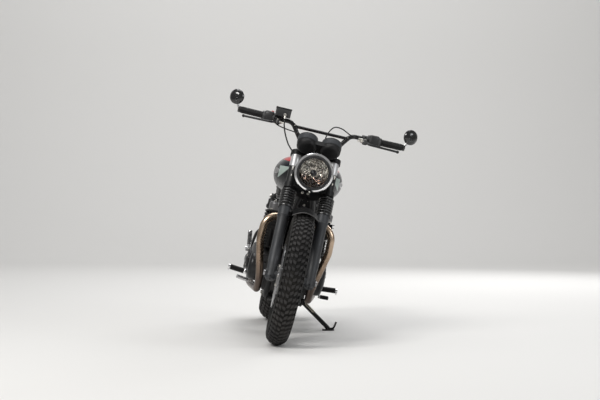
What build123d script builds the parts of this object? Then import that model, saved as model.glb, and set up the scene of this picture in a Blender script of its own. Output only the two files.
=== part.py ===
from build123d import *
import math
import os

# Unfaired parallel-twin roadster on its side stand, in millimetres.
# Every piece is laid out on the upright machine: +X is its left side, +Y runs backwards from
# the front axle and +Z is up. At the end the whole machine leans onto its stand.

# Stance
LEAN = 13.2
WHEELBASE = 1450.0
RAKE = 25.5
TRAIL = 104.0

# Tyres and rims
FRONT_TYRE_RADIUS = 325.0
FRONT_TYRE_WIDTH = 108.0
FRONT_CROWN = 58.0
FRONT_BEAD_RADIUS = 232.0
REAR_TYRE_RADIUS = 321.0
REAR_TYRE_WIDTH = 150.0
REAR_CROWN = 82.0
REAR_BEAD_RADIUS = 219.0
FLANGE_HEIGHT = 5.0
SPOKE_DIAMETER = 4.0
SPOKE_COUNT = 32
AXLE_DIAMETER = 17.0
REAR_NUT = 8.0
FRONT_NUT = 8.5
FRONT_AXLE_BORE = 11.0
REAR_AXLE_BORE = 11.0
RUNNING_FIT = 0.1
SEAT_GAP = 0.3

# Fork and steering
FORK_SPACING = 190.0
STANCHION_DIAMETER = 41.0
SLIDER_DIAMETER = 54.0
SLIDER_COLLAR = 60.0
GAITER_DIAMETER = 78.0
GAITER_LENGTH = 104.0
GAITER_PLEATS = 7
LOWER_YOKE_S = 800.0
LOWER_YOKE_THICK = 28.0
UPPER_YOKE_S = 985.0
UPPER_YOKE_THICK = 24.0
STEM_DIAMETER = 30.0
STEM_BORE = 17.0
STEM_BORE_DEPTH = 120.0
HEAD_TUBE_DIAMETER = 58.0
HEAD_GAP = 3.0

# Front brake and rear brake
FRONT_DISC_DIAMETER = 310.0
REAR_DISC_DIAMETER = 255.0
DISC_THICK = 5.0

# Chain drive
CHAIN_PITCH = 15.875
FRONT_TEETH = 16
REAR_TEETH = 42
CHAIN_LINE = 91.0
CHAIN_WIDTH = 17.0
CHAIN_HEIGHT = 15.0
CHAIN_PLATE_HEIGHT = 13.4
SPROCKET_Y = 790.0
SPROCKET_Z = 335.0

# Swingarm and rear frame
PIVOT_Y = 905.0
PIVOT_Z = 330.0
ARM_CENTRE = 116.0
ARM_THICK = 24.0
ARM_HEIGHT = 42.0
RAIL_HALF = 118.0
RAIL_DIAMETER = 25.0
RAIL_END = WHEELBASE + 110
STAY_DIAMETER = 22.0
SHOCK_X = 143.0
SHOCK_TOP_Y = WHEELBASE - 225
SHOCK_LOW_Y = WHEELBASE - 62
SHOCK_LOW_Z = 392.0
REAR_GUARD_GAP = 45.0
GUARD_THICK = 2.5

# Lamp and instruments
LAMP_DIAMETER = 190.0
LAMP_Y = 80.0
LAMP_Z = 843.0
CUP_DIAMETER = 100.0
CUP_DEPTH = 64.0
CUP_HALF_SPACING = 60.0

# Handlebar
BAR_DIAMETER = 22.2
BRACE_DIAMETER = 16.0
BAR_HALF_WIDTH = 431.0
BAR_END_Z = 1080.0
MIRROR_DIAMETER = 76.0
MIRROR_YAW = 24.0

# Exhaust
HEADER_DIAMETER = 38.0

# Side stand
STAND_LEG_DIAMETER = 23.0

SIN_RAKE = math.sin(math.radians(RAKE))
COS_RAKE = math.cos(math.radians(RAKE))
COS_LEAN = math.cos(math.radians(LEAN))
SIN_LEAN = math.sin(math.radians(LEAN))


def axle_height(radius, crown):
    """Height of an upright axle whose leaning tyre just touches the ground."""
    return radius - crown + crown / COS_LEAN


FRONT_AXLE_Z = axle_height(FRONT_TYRE_RADIUS, FRONT_CROWN)
REAR_AXLE_Z = axle_height(REAR_TYRE_RADIUS, REAR_CROWN)
FRONT_AXLE = Vector(0, 0, FRONT_AXLE_Z)
REAR_AXLE = Vector(0, WHEELBASE, REAR_AXLE_Z)

# The fork's own frame: x as the machine, y square to the steering axis and backwards, z up the axis.
STEER_FOOT = Vector(0, -TRAIL, 0)
STEER_DIRECTION = Vector(0, SIN_RAKE, COS_RAKE)
FORK = Plane(origin=STEER_FOOT, x_dir=(1, 0, 0), z_dir=STEER_DIRECTION)
FORK_OFFSET = FRONT_AXLE_Z * SIN_RAKE - TRAIL * COS_RAKE
AXLE_S = TRAIL * SIN_RAKE + FRONT_AXLE_Z * COS_RAKE
STANCHION_HALF = FORK_SPACING / 2
GAITER_TOP_S = LOWER_YOKE_S - 0.5
GAITER_BOTTOM_S = GAITER_TOP_S - GAITER_LENGTH

REAR_GUARD_RADIUS = REAR_TYRE_RADIUS + REAR_GUARD_GAP
CROSS_TUBE = 16.0
RAIL_Z = REAR_AXLE_Z + REAR_GUARD_RADIUS + GUARD_THICK + SEAT_GAP + CROSS_TUBE / 2

# Side stand: its pivot, its foot on the ground plane of the leaning machine, and the folded leg.
STAND_PIVOT = Vector(124, 805, 184)
STAND_EYE_HALF = 13.0
STAND_EYE_RADIUS = 16.0
STAND_FOOT_X = 292.0
STAND_FOOT_Y = 757.0
STAND_FOOT_THICK = 8.0
STAND_AXIS = Vector(0.5, -0.1, 0.86).normalized()
STAND_PIN_RADIUS = 6.0


def ground_z(x):
    """Height of the ground plane, seen from the upright machine."""
    return x * SIN_LEAN / COS_LEAN


def cylinder_between(start, end, radius):
    """A round bar from one point to another."""
    start = Vector(start)
    end = Vector(end)
    base = Plane(origin=start, z_dir=(end - start).normalized())
    return extrude(base * Circle(radius), amount=(end - start).length)


def tube(points, diameter, bend):
    """A round bar along straight runs joined by arcs of one bend radius or of a list."""
    if len(points) == 2:
        return cylinder_between(points[0], points[1], diameter / 2)
    path = FilletPolyline(*points, radius=bend)
    section = Plane(origin=path @ 0, z_dir=path % 0) * Circle(diameter / 2)
    return sweep(section, path=path)


def mirrored(shape):
    """The same shape on the other side of the machine."""
    return mirror(shape, about=Plane.YZ)


def both_sides(shape):
    """A shape and its mirror image, as a list."""
    return [shape, mirrored(shape)]


def flip(points):
    """The same points on the other side of the machine."""
    return [(-x, y, z) for x, y, z in points]


def lathe_x(profile, centre, start=None, arc=360.0):
    """A closed (x, radius) outline turned about the lateral line through a point."""
    outline = Polyline(*[(x, 0, radius) for x, radius in profile], close=True)
    face = make_face(outline)
    if start is not None:
        face = face.rotate(Axis.X, start)
    return revolve(face, Axis.X, revolution_arc=arc).moved(Location(centre))


def lathe_fork(profile, x=0.0, back=0.0):
    """A closed (radius, s) outline turned about a line along the steering axis."""
    outline = Polyline(*[(radius, 0, s) for radius, s in profile], close=True)
    solid = revolve(make_face(outline), Axis.Z)
    return FORK.location * solid.moved(Location((x, back, 0)))


def fork_point(x, back, s):
    """A point of the fork's frame on the upright machine."""
    return FORK.from_local_coords(Vector(x, back, s))


def tyre(radius, width, crown, bead_radius, bead_half, axle):
    """A tyre: round crown, bulging side walls and beads that sit in the rim."""
    shoulder_half = width / 2 * 0.93
    shoulder = radius - crown + math.sqrt(crown ** 2 - shoulder_half ** 2)
    wall = (shoulder + bead_radius) / 2
    lip = bead_radius + FLANGE_HEIGHT + 1
    lines = [
        ThreePointArc((-shoulder_half, 0, shoulder), (0, 0, radius), (shoulder_half, 0, shoulder)),
        ThreePointArc((shoulder_half, 0, shoulder), (width / 2, 0, wall), (bead_half, 0, lip)),
        Line((bead_half, 0, lip), (bead_half, 0, bead_radius)),
        Line((bead_half, 0, bead_radius), (bead_half - 6, 0, bead_radius - 4)),
        Line((bead_half - 6, 0, bead_radius - 4), (-bead_half + 6, 0, bead_radius - 4)),
        Line((-bead_half + 6, 0, bead_radius - 4), (-bead_half, 0, bead_radius)),
        Line((-bead_half, 0, bead_radius), (-bead_half, 0, lip)),
        ThreePointArc((-bead_half, 0, lip), (-width / 2, 0, wall), (-shoulder_half, 0, shoulder)),
    ]
    return revolve(make_face(lines), Axis.X).moved(Location(axle))


def wire_wheel(bead_radius, bead_half, hub_radius, flange_radius, flange_half, hub_half, axle):
    """Rim, hub and crossed spokes in one piece."""
    seat = bead_radius - 4.4
    rim = lathe_x([
        (-bead_half - 3, bead_radius + FLANGE_HEIGHT), (-bead_half - 0.4, bead_radius + FLANGE_HEIGHT),
        (-bead_half - 0.4, bead_radius), (-bead_half + 6, seat), (bead_half - 6, seat),
        (bead_half + 0.4, bead_radius), (bead_half + 0.4, bead_radius + FLANGE_HEIGHT),
        (bead_half + 3, bead_radius + FLANGE_HEIGHT), (bead_half + 3, bead_radius - 3),
        (bead_half - 10, seat - 5), (14, seat - 16), (-14, seat - 16),
        (-bead_half + 10, seat - 5), (-bead_half - 3, bead_radius - 3),
    ], axle)
    bore = AXLE_DIAMETER / 2 + RUNNING_FIT
    hub = lathe_x([
        (-hub_half, bore), (hub_half, bore), (hub_half, hub_radius * 0.85),
        (flange_half + 4, hub_radius * 0.9), (flange_half + 4, flange_radius),
        (flange_half - 2, flange_radius), (flange_half - 2, hub_radius),
        (-flange_half + 2, hub_radius), (-flange_half + 2, flange_radius),
        (-flange_half - 4, flange_radius), (-flange_half - 4, hub_radius * 0.9),
        (-hub_half, hub_radius * 0.85),
    ], axle)
    spokes = []
    for index in range(SPOKE_COUNT):
        side = 1 if index % 2 else -1
        lead = 1 if index // 2 % 2 else -1
        outer = 2 * math.pi * index / SPOKE_COUNT
        inner = outer + lead * math.radians(58)
        hub_end = Vector(side * flange_half, (flange_radius - 6) * math.cos(inner),
                         (flange_radius - 6) * math.sin(inner))
        rim_end = Vector(side * 8, (seat - 8) * math.cos(outer), (seat - 8) * math.sin(outer))
        spokes.append(cylinder_between(axle + hub_end, axle + rim_end, SPOKE_DIAMETER / 2))
    return rim.fuse(hub, *spokes)


def brake_disc(diameter, x, hub_face, axle):
    """A drilled disc on its carrier, which bolts to the hub's end face."""
    side = math.copysign(1, x)
    inner = diameter / 2 - 32
    ring = lathe_x([
        (x - DISC_THICK / 2, diameter / 2), (x + DISC_THICK / 2, diameter / 2),
        (x + DISC_THICK / 2, inner), (x - DISC_THICK / 2, inner),
    ], axle)
    carrier = lathe_x([
        (hub_face, 22), (hub_face, 40), (x - side * DISC_THICK / 2, 46),
        (x - side * DISC_THICK / 2, inner + 4), (x + side * DISC_THICK / 2, inner + 4),
        (x + side * DISC_THICK / 2, 40), (hub_face + side * 5, 22),
    ], axle)
    windows = []
    for index in range(6):
        turn = index * 60
        hole = Location((x, 0, 0)) * (Rot(turn, 0, 0) * Pos(0, 0, inner - 24) * Rot(0, 90, 0)
                                      * Cylinder(15, 40))
        windows.append(hole.moved(Location(axle)))
    holes = []
    for index in range(18):
        turn = index * 20
        hole = Location((x, 0, 0)) * (Rot(turn, 0, 0) * Pos(0, 0, diameter / 2 - 16) * Rot(0, 90, 0)
                                      * Cylinder(4, 12))
        holes.append(hole.moved(Location(axle)))
    return (ring + carrier).cut(*windows, *holes)


# Wheels
FRONT_BEAD_HALF = 36.0
REAR_BEAD_HALF = 56.0
FRONT_HUB_HALF = 46.0
REAR_HUB_HALF = 60.0
FRONT_DISC_X = -56.0
REAR_DISC_X = -88.0


def front_tyre():
    return tyre(FRONT_TYRE_RADIUS, FRONT_TYRE_WIDTH, FRONT_CROWN, FRONT_BEAD_RADIUS, FRONT_BEAD_HALF,
                FRONT_AXLE)


def rear_tyre():
    return tyre(REAR_TYRE_RADIUS, REAR_TYRE_WIDTH, REAR_CROWN, REAR_BEAD_RADIUS, REAR_BEAD_HALF,
                REAR_AXLE)


def front_wheel():
    return wire_wheel(FRONT_BEAD_RADIUS, FRONT_BEAD_HALF, 30, 48, 32, FRONT_HUB_HALF, FRONT_AXLE)


def rear_wheel():
    return wire_wheel(REAR_BEAD_RADIUS, REAR_BEAD_HALF, 42, 62, 40, REAR_HUB_HALF, REAR_AXLE)


def front_disc():
    return brake_disc(FRONT_DISC_DIAMETER, FRONT_DISC_X, -FRONT_HUB_HALF, FRONT_AXLE)


def rear_disc():
    return brake_disc(REAR_DISC_DIAMETER, REAR_DISC_X, -REAR_HUB_HALF, REAR_AXLE)


def pitch_radius(teeth):
    return CHAIN_PITCH / 2 / math.sin(math.pi / teeth)


def rear_sprocket():
    """Toothed wheel bolted to the hub, small enough to turn inside the fixed chain loop."""
    tip = pitch_radius(REAR_TEETH) - CHAIN_HEIGHT / 2 - 1
    root = tip - 7
    plate = lathe_x([
        (CHAIN_LINE - 4, 60), (CHAIN_LINE + 4, 60), (CHAIN_LINE + 4, root), (CHAIN_LINE - 4, root),
    ], REAR_AXLE)
    carrier = lathe_x([
        (REAR_HUB_HALF, 20), (REAR_HUB_HALF, 52), (CHAIN_LINE - 6, 70), (CHAIN_LINE + 4, 70),
        (CHAIN_LINE + 4, 56), (REAR_HUB_HALF + 8, 20),
    ], REAR_AXLE)
    teeth = []
    half = math.pi * root / REAR_TEETH * 0.55
    outline = make_face(Polyline((0, -half, root - 2), (0, half, root - 2), (0, half * 0.45, tip),
                                 (0, -half * 0.45, tip), close=True))
    tooth = extrude(outline, amount=8, dir=(1, 0, 0)).moved(Location((CHAIN_LINE - 4, 0, 0)))
    for index in range(REAR_TEETH):
        turned = tooth.rotate(Axis.X, index * 360 / REAR_TEETH)
        teeth.append(turned.moved(Location(REAR_AXLE)))
    return plate.fuse(carrier, *teeth)


def front_axle():
    """Axle rod with its two spacers and end nuts."""
    reach = STANCHION_HALF + SLIDER_DIAMETER / 2 + FRONT_NUT
    inner = STANCHION_HALF - SLIDER_DIAMETER / 2 - 3
    spacer = AXLE_DIAMETER / 2 + 5
    gap = FRONT_HUB_HALF + SEAT_GAP
    rod = AXLE_DIAMETER / 2
    return lathe_x([
        (-reach, FRONT_AXLE_BORE / 2), (-reach, 13), (-reach + 8, 13), (-reach + 8, rod), (-inner, rod),
        (-inner, spacer), (-gap, spacer), (-gap, rod), (gap, rod), (gap, spacer), (inner, spacer),
        (inner, rod), (reach - 8, rod), (reach - 8, 13), (reach, 13), (reach, FRONT_AXLE_BORE / 2),
    ], FRONT_AXLE)


def rear_axle():
    """Axle rod with spacers up to the swingarm plates and end nuts."""
    inner = ARM_CENTRE - ARM_THICK / 2
    outer = ARM_CENTRE + ARM_THICK / 2
    rod = AXLE_DIAMETER / 2
    spacer = rod + 5
    gap = REAR_HUB_HALF + SEAT_GAP
    left_gap = REAR_HUB_HALF + 8 + SEAT_GAP
    return lathe_x([
        (-outer - REAR_NUT, REAR_AXLE_BORE / 2), (-outer - REAR_NUT, 14), (-outer, 14), (-outer, rod),
        (-inner, rod),
        (-inner, spacer), (-gap, spacer), (-gap, rod), (left_gap, rod), (left_gap, spacer),
        (inner, spacer), (inner, rod), (outer, rod), (outer, 14), (outer + REAR_NUT, 14),
        (outer + REAR_NUT, REAR_AXLE_BORE / 2),
    ], REAR_AXLE)


# Fork
def fork_tubes():
    radius = STANCHION_DIAMETER / 2
    top = UPPER_YOKE_S + UPPER_YOKE_THICK + 4
    bottom = GAITER_BOTTOM_S - 50
    profile = [(0, bottom), (radius, bottom), (radius, top), (radius - 3, top + 3), (0, top + 3)]
    return [lathe_fork(profile, side * STANCHION_HALF, -FORK_OFFSET) for side in (-1, 1)]


def fork_sliders():
    """Slider castings with the bored collar, a tapered leg and the axle lug."""
    radius = SLIDER_DIAMETER / 2
    collar = SLIDER_COLLAR / 2
    bore = STANCHION_DIAMETER / 2
    top = GAITER_BOTTOM_S + 12
    foot = AXLE_S - 30
    profile = [
        (0, foot), (radius - 6, foot), (radius - 2, foot + 12), (radius - 2, AXLE_S + 60),
        (radius, AXLE_S + 90), (radius, top - 70), (collar, top - 60), (collar, top),
        (bore, top), (bore, GAITER_BOTTOM_S - 50), (0, GAITER_BOTTOM_S - 50),
    ]
    legs = []
    for side in (-1, 1):
        leg = lathe_fork(profile, side * STANCHION_HALF, -FORK_OFFSET)
        inner = STANCHION_HALF - radius - 3
        outer = STANCHION_HALF + radius
        lug = lathe_x([(side * inner, 0), (side * inner, 21), (side * outer, 21), (side * outer, 0)],
                      FRONT_AXLE)
        hole = lathe_x([(-200, 0), (-200, AXLE_DIAMETER / 2), (200, AXLE_DIAMETER / 2), (200, 0)],
                       FRONT_AXLE)
        legs.append(leg + lug - hole)
    return legs


def fork_gaiters():
    """Bellows from the slider collar up to the lower yoke."""
    inner = STANCHION_DIAMETER / 2 + 4
    outer = GAITER_DIAMETER / 2
    collar = SLIDER_COLLAR / 2 + SEAT_GAP
    start = GAITER_BOTTOM_S + 14
    pitch = (GAITER_TOP_S - 8 - start) / GAITER_PLEATS
    profile = [(collar, GAITER_BOTTOM_S), (collar + 4, GAITER_BOTTOM_S), (collar + 4, start)]
    for index in range(GAITER_PLEATS):
        low = start + index * pitch
        profile += [(outer - 7, low + pitch * 0.12), (outer, low + pitch * 0.4),
                    (outer, low + pitch * 0.6), (outer - 7, low + pitch * 0.88)]
    profile += [(inner + 5, GAITER_TOP_S - 8), (inner + 5, GAITER_TOP_S), (inner, GAITER_TOP_S),
                (inner, GAITER_TOP_S - 8), (inner + 4, GAITER_TOP_S - 10), (inner + 4, start),
                (collar, start - 1)]
    return [lathe_fork(profile, side * STANCHION_HALF, -FORK_OFFSET) for side in (-1, 1)]


def yoke_plate(s, thickness, stem_radius):
    """Plate that clamps both stanchions, drawn round them and round the stem."""
    boss = STANCHION_DIAMETER / 2 + 11
    sketch = Sketch() + [Pos(side * STANCHION_HALF, -FORK_OFFSET) * Circle(boss) for side in (-1, 1)]
    web = Polyline((-STANCHION_HALF, -FORK_OFFSET - boss + 6), (STANCHION_HALF, -FORK_OFFSET - boss + 6),
                   (STANCHION_HALF, -FORK_OFFSET + boss - 8), (30, stem_radius + 12),
                   (-30, stem_radius + 12), (-STANCHION_HALF, -FORK_OFFSET + boss - 8), close=True)
    sketch += make_face(web)
    sketch -= [Pos(side * STANCHION_HALF, -FORK_OFFSET) * Circle(STANCHION_DIAMETER / 2)
               for side in (-1, 1)]
    return extrude(Pos(0, 0, s) * sketch, amount=thickness)


def yokes():
    stem = STEM_DIAMETER / 2
    lower = yoke_plate(LOWER_YOKE_S, LOWER_YOKE_THICK, stem)
    shaft = Pos(0, 0, LOWER_YOKE_S) * Cylinder(stem, UPPER_YOKE_S - LOWER_YOKE_S,
                                               align=(Align.CENTER, Align.CENTER, Align.MIN))
    upper = yoke_plate(UPPER_YOKE_S, UPPER_YOKE_THICK, stem)
    nut = extrude(Pos(0, 0, UPPER_YOKE_S + UPPER_YOKE_THICK) * RegularPolygon(19, 6), amount=9)
    socket = Pos(0, 0, LOWER_YOKE_S - 1) * Cylinder(STEM_BORE / 2, STEM_BORE_DEPTH + 1,
                                                    align=(Align.CENTER, Align.CENTER, Align.MIN))
    return [FORK.location * (lower + shaft - socket), FORK.location * (upper + nut)]


def front_mudguard():
    """Short blade over the front tyre, with its bridge between the sliders."""
    inner = FRONT_TYRE_RADIUS + 17
    outer = inner + GUARD_THICK
    half = FRONT_TYRE_WIDTH / 2 + 8
    face = make_face([
        ThreePointArc((-half, 0, inner - 26), (0, 0, outer), (half, 0, inner - 26)),
        Line((half, 0, inner - 26), (half - GUARD_THICK, 0, inner - 26)),
        ThreePointArc((half - GUARD_THICK, 0, inner - 26), (0, 0, inner),
                      (-half + GUARD_THICK, 0, inner - 26)),
        Line((-half + GUARD_THICK, 0, inner - 26), (-half, 0, inner - 26)),
    ])
    blade = revolve(face.rotate(Axis.X, 22), Axis.X, revolution_arc=-88).moved(Location(FRONT_AXLE))
    s = AXLE_S + inner - 22
    collar = SLIDER_COLLAR / 2 + SEAT_GAP
    brackets = []
    for side in (-1, 1):
        block = Pos(side * (half + 5), -FORK_OFFSET, s) * Box(16, 44, 22)
        block -= Pos(side * STANCHION_HALF, -FORK_OFFSET, s) * Cylinder(collar, 60)
        brackets.append(FORK.location * block)
    return blade.fuse(*brackets)


def front_caliper():
    """Calliper behind the right slider, straddling the disc."""
    back = -FORK_OFFSET + 62
    s = AXLE_S + 112
    body = Pos(FRONT_DISC_X - 2, back, s) * Box(52, 62, 96)
    body = fillet(body.edges().filter_by(Axis.X), 14)
    disc_room = lathe_x([
        (FRONT_DISC_X - DISC_THICK / 2 - 1.5, 0), (FRONT_DISC_X + DISC_THICK / 2 + 1.5, 0),
        (FRONT_DISC_X + DISC_THICK / 2 + 1.5, FRONT_DISC_DIAMETER / 2 + 4),
        (FRONT_DISC_X - DISC_THICK / 2 - 1.5, FRONT_DISC_DIAMETER / 2 + 4),
    ], FRONT_AXLE)
    lug = Pos(-STANCHION_HALF + 8, -FORK_OFFSET + 30, s) * Box(16, 24, 50)
    lug -= Pos(-STANCHION_HALF, -FORK_OFFSET, s) * Cylinder(SLIDER_DIAMETER / 2 + SEAT_GAP, 200)
    body = FORK.location * (body + lug - Pos(-STANCHION_HALF, -FORK_OFFSET, s)
                            * Cylinder(SLIDER_DIAMETER / 2 + SEAT_GAP, 200))
    return body - disc_room


# Lamp, instruments and bars
def headlamp_shell():
    """Open bowl with a rounded back."""
    radius = LAMP_DIAMETER / 2 - 9
    depth = 132
    wall = 2.5
    face = make_face([
        Line((0, depth, 0), (30, depth, 0)),
        ThreePointArc((30, depth, 0), (radius * 0.83, depth * 0.66, 0), (radius, 18, 0)),
        Line((radius, 18, 0), (radius - wall, 18, 0)),
        ThreePointArc((radius - wall, 18, 0), (radius * 0.83 - wall, depth * 0.66 - wall, 0),
                      (28, depth - wall, 0)),
        Line((28, depth - wall, 0), (0, depth - wall, 0)),
        Line((0, depth - wall, 0), (0, depth, 0)),
    ])
    return revolve(face, Axis.Y).moved(Location((0, LAMP_Y, LAMP_Z)))


def headlamp_rim():
    outer = LAMP_DIAMETER / 2
    bowl = outer - 9
    glass = outer - 13
    face = make_face(Polyline((glass, 4, 0), (glass + 3, 0, 0), (outer - 3, 2, 0), (outer, 8, 0),
                              (outer - 1, 16, 0), (bowl - 3, 18, 0), (glass, 18, 0), close=True))
    return revolve(face, Axis.Y).moved(Location((0, LAMP_Y, LAMP_Z)))


def headlamp_lens():
    """Domed glass in the rim."""
    glass = LAMP_DIAMETER / 2 - 13
    face = make_face([
        Line((0, -4, 0), (6, -4, 0)),
        ThreePointArc((6, -4, 0), (glass * 0.58, -1.2, 0), (glass, 5, 0)),
        Line((glass, 5, 0), (glass, 9, 0)),
        ThreePointArc((glass, 9, 0), (glass * 0.58, 2.8, 0), (6, 0, 0)),
        Line((6, 0, 0), (0, 0, 0)),
        Line((0, 0, 0), (0, -4, 0)),
    ])
    return revolve(face, Axis.Y).moved(Location((0, LAMP_Y, LAMP_Z)))


def lamp_ears():
    """Shrouds round the stanchions between the yokes, with arms to the lamp's sides."""
    ears = []
    low = LOWER_YOKE_S + LOWER_YOKE_THICK
    radius = STANCHION_DIAMETER / 2
    for side in (-1, 1):
        ring = lathe_fork([(radius, low), (radius + 5, low), (radius + 5, UPPER_YOKE_S),
                           (radius, UPPER_YOKE_S)], side * STANCHION_HALF, -FORK_OFFSET)
        bolt_y = LAMP_Y + 45
        root = fork_point(side * STANCHION_HALF, -FORK_OFFSET, low + 66)
        arm = Polyline((side * (STANCHION_HALF + 2), root.Y, root.Z + 26),
                       (side * (STANCHION_HALF + 2), root.Y, root.Z - 26),
                       (side * (STANCHION_HALF + 2), bolt_y - 14, LAMP_Z - 14),
                       (side * (STANCHION_HALF + 2), bolt_y - 14, LAMP_Z + 14), close=True)
        plate = extrude(make_face(arm), amount=5, dir=(-side, 0, 0))
        boss = cylinder_between((side * (STANCHION_HALF + 6), bolt_y, LAMP_Z),
                                (side * (LAMP_DIAMETER / 2 - 12.6), bolt_y, LAMP_Z), 9)
        core = lathe_fork([(0, low), (radius, low), (radius, UPPER_YOKE_S), (0, UPPER_YOKE_S)],
                          side * STANCHION_HALF, -FORK_OFFSET)
        ears.append(ring + (plate + boss - core) - headlamp_solid())
    return ears


def headlamp_solid():
    """The lamp's full outline, to trim what meets it."""
    radius = LAMP_DIAMETER / 2 - 9
    depth = 132
    face = make_face([
        Line((0, depth, 0), (30, depth, 0)),
        ThreePointArc((30, depth, 0), (radius * 0.83, depth * 0.66, 0), (radius, 18, 0)),
        Line((radius, 18, 0), (0, 18, 0)),
        Line((0, 18, 0), (0, depth, 0)),
    ])
    return revolve(face, Axis.Y).moved(Location((0, LAMP_Y, LAMP_Z)))


INSTRUMENT_TILT = 38.0
INSTRUMENT_Y = 222.0
INSTRUMENT_Z = 979.0


def instruments():
    """Two cups joined by a bridge, on a bracket from the upper yoke."""
    radius = CUP_DIAMETER / 2
    face = make_face([
        Line((0, 0, -CUP_DEPTH / 2), (radius * 0.72, 0, -CUP_DEPTH / 2)),
        ThreePointArc((radius * 0.72, 0, -CUP_DEPTH / 2), (radius * 0.93, 0, -CUP_DEPTH * 0.4),
                      (radius - 1, 0, -CUP_DEPTH * 0.2)),
        Line((radius - 1, 0, -CUP_DEPTH * 0.2), (radius, 0, CUP_DEPTH / 2)),
        Line((radius, 0, CUP_DEPTH / 2), (radius - 5, 0, CUP_DEPTH / 2)),
        Line((radius - 5, 0, CUP_DEPTH / 2), (radius - 6, 0, CUP_DEPTH / 2 - 8)),
        Line((radius - 6, 0, CUP_DEPTH / 2 - 8), (0, 0, CUP_DEPTH / 2 - 8)),
        Line((0, 0, CUP_DEPTH / 2 - 8), (0, 0, -CUP_DEPTH / 2)),
    ])
    cup = revolve(face, Axis.Z)
    pair = [Pos(side * CUP_HALF_SPACING, 0, 0) * cup for side in (-1, 1)]
    bridge = Pos(0, 0, -6) * Box(CUP_HALF_SPACING, 62, 26)
    cluster = pair[0].fuse(pair[1], bridge)
    cluster = Location((0, INSTRUMENT_Y, INSTRUMENT_Z), (-INSTRUMENT_TILT, 0, 0)) * cluster
    foot_s = UPPER_YOKE_S + UPPER_YOKE_THICK + SEAT_GAP + 7
    foot = FORK.location * (Pos(0, -FORK_OFFSET + 2, foot_s) * Box(36, 26, 14))
    stay = cylinder_between((0, INSTRUMENT_Y, INSTRUMENT_Z - 8), fork_point(0, -FORK_OFFSET + 2, foot_s), 7)
    return cluster.fuse(foot, stay)


CLAMP_S = 1056.0
CLAMP_HALF = 42.0
CLAMP_BACK = 8.0
BAR_CENTRE = fork_point(0, CLAMP_BACK, CLAMP_S)
BAR_KNEE_Y = 368.0
BAR_KNEE_Z = 1074.0
BAR_KNEE_X = 150.0
BAR_END_Y = 425.0
BAR_KNEE = Vector(BAR_KNEE_X, BAR_KNEE_Y, BAR_KNEE_Z)
BAR_END = Vector(BAR_HALF_WIDTH - 10, BAR_END_Y, BAR_END_Z)
BAR_RUN = (BAR_END - BAR_KNEE).normalized()


def along_bar(distance):
    """A point of the left half of the bar, so far in from its end."""
    return BAR_END - BAR_RUN * distance


def handlebar():
    """Wide bar with a cross brace, on two risers with split clamps."""
    centre = BAR_CENTRE
    half = [(CLAMP_HALF + 20, centre.Y, centre.Z), tuple(BAR_KNEE), tuple(BAR_END)]
    points = flip(half)[::-1] + half
    bar = tube(points, BAR_DIAMETER, [48, 40, 40, 48])
    share = 0.86
    brace_end = Vector(*half[0]) + (BAR_KNEE - Vector(*half[0])) * share
    brace = cylinder_between((-brace_end.X, brace_end.Y, brace_end.Z), brace_end, BRACE_DIAMETER / 2)
    pieces = [brace]
    for side in (-1, 1):
        low = fork_point(side * CLAMP_HALF, 0, UPPER_YOKE_S + UPPER_YOKE_THICK)
        riser = cylinder_between(low, (side * CLAMP_HALF, centre.Y, centre.Z), 13)
        below = Pos(side * CLAMP_HALF, 0, UPPER_YOKE_S + UPPER_YOKE_THICK + SEAT_GAP - 20) * Box(80, 80, 40)
        pieces.append(riser - FORK.location * below)
        pieces.append(cylinder_between((side * (CLAMP_HALF - 12), centre.Y, centre.Z),
                                       (side * (CLAMP_HALF + 12), centre.Y, centre.Z), 19))
        pieces.append(cylinder_between((side * (brace_end.X - 9), brace_end.Y, brace_end.Z),
                                       (side * (brace_end.X + 7), brace_end.Y, brace_end.Z), 11))
    return bar.fuse(*pieces)


def sleeve(start, end, inner, outer, side=1):
    """A hollow round piece on the bar between two distances from the bar's end."""
    a = along_bar(start)
    b = along_bar(end)
    piece = cylinder_between(a, b, outer) - cylinder_between(a, b, inner)
    return piece if side > 0 else mirrored(piece)


GRIP_LENGTH = 122.0
SWITCH_LENGTH = 62.0
PERCH_LENGTH = 30.0


def grips():
    """Rubber grips with an end flange and the bar-end weights outside them."""
    radius = BAR_DIAMETER / 2
    pieces = []
    for side in (-1, 1):
        grip = sleeve(4, GRIP_LENGTH, radius, 16.5, side)
        collar = sleeve(GRIP_LENGTH - 5, GRIP_LENGTH, radius, 20, side)
        pieces.append(grip + collar)
    return pieces


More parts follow.
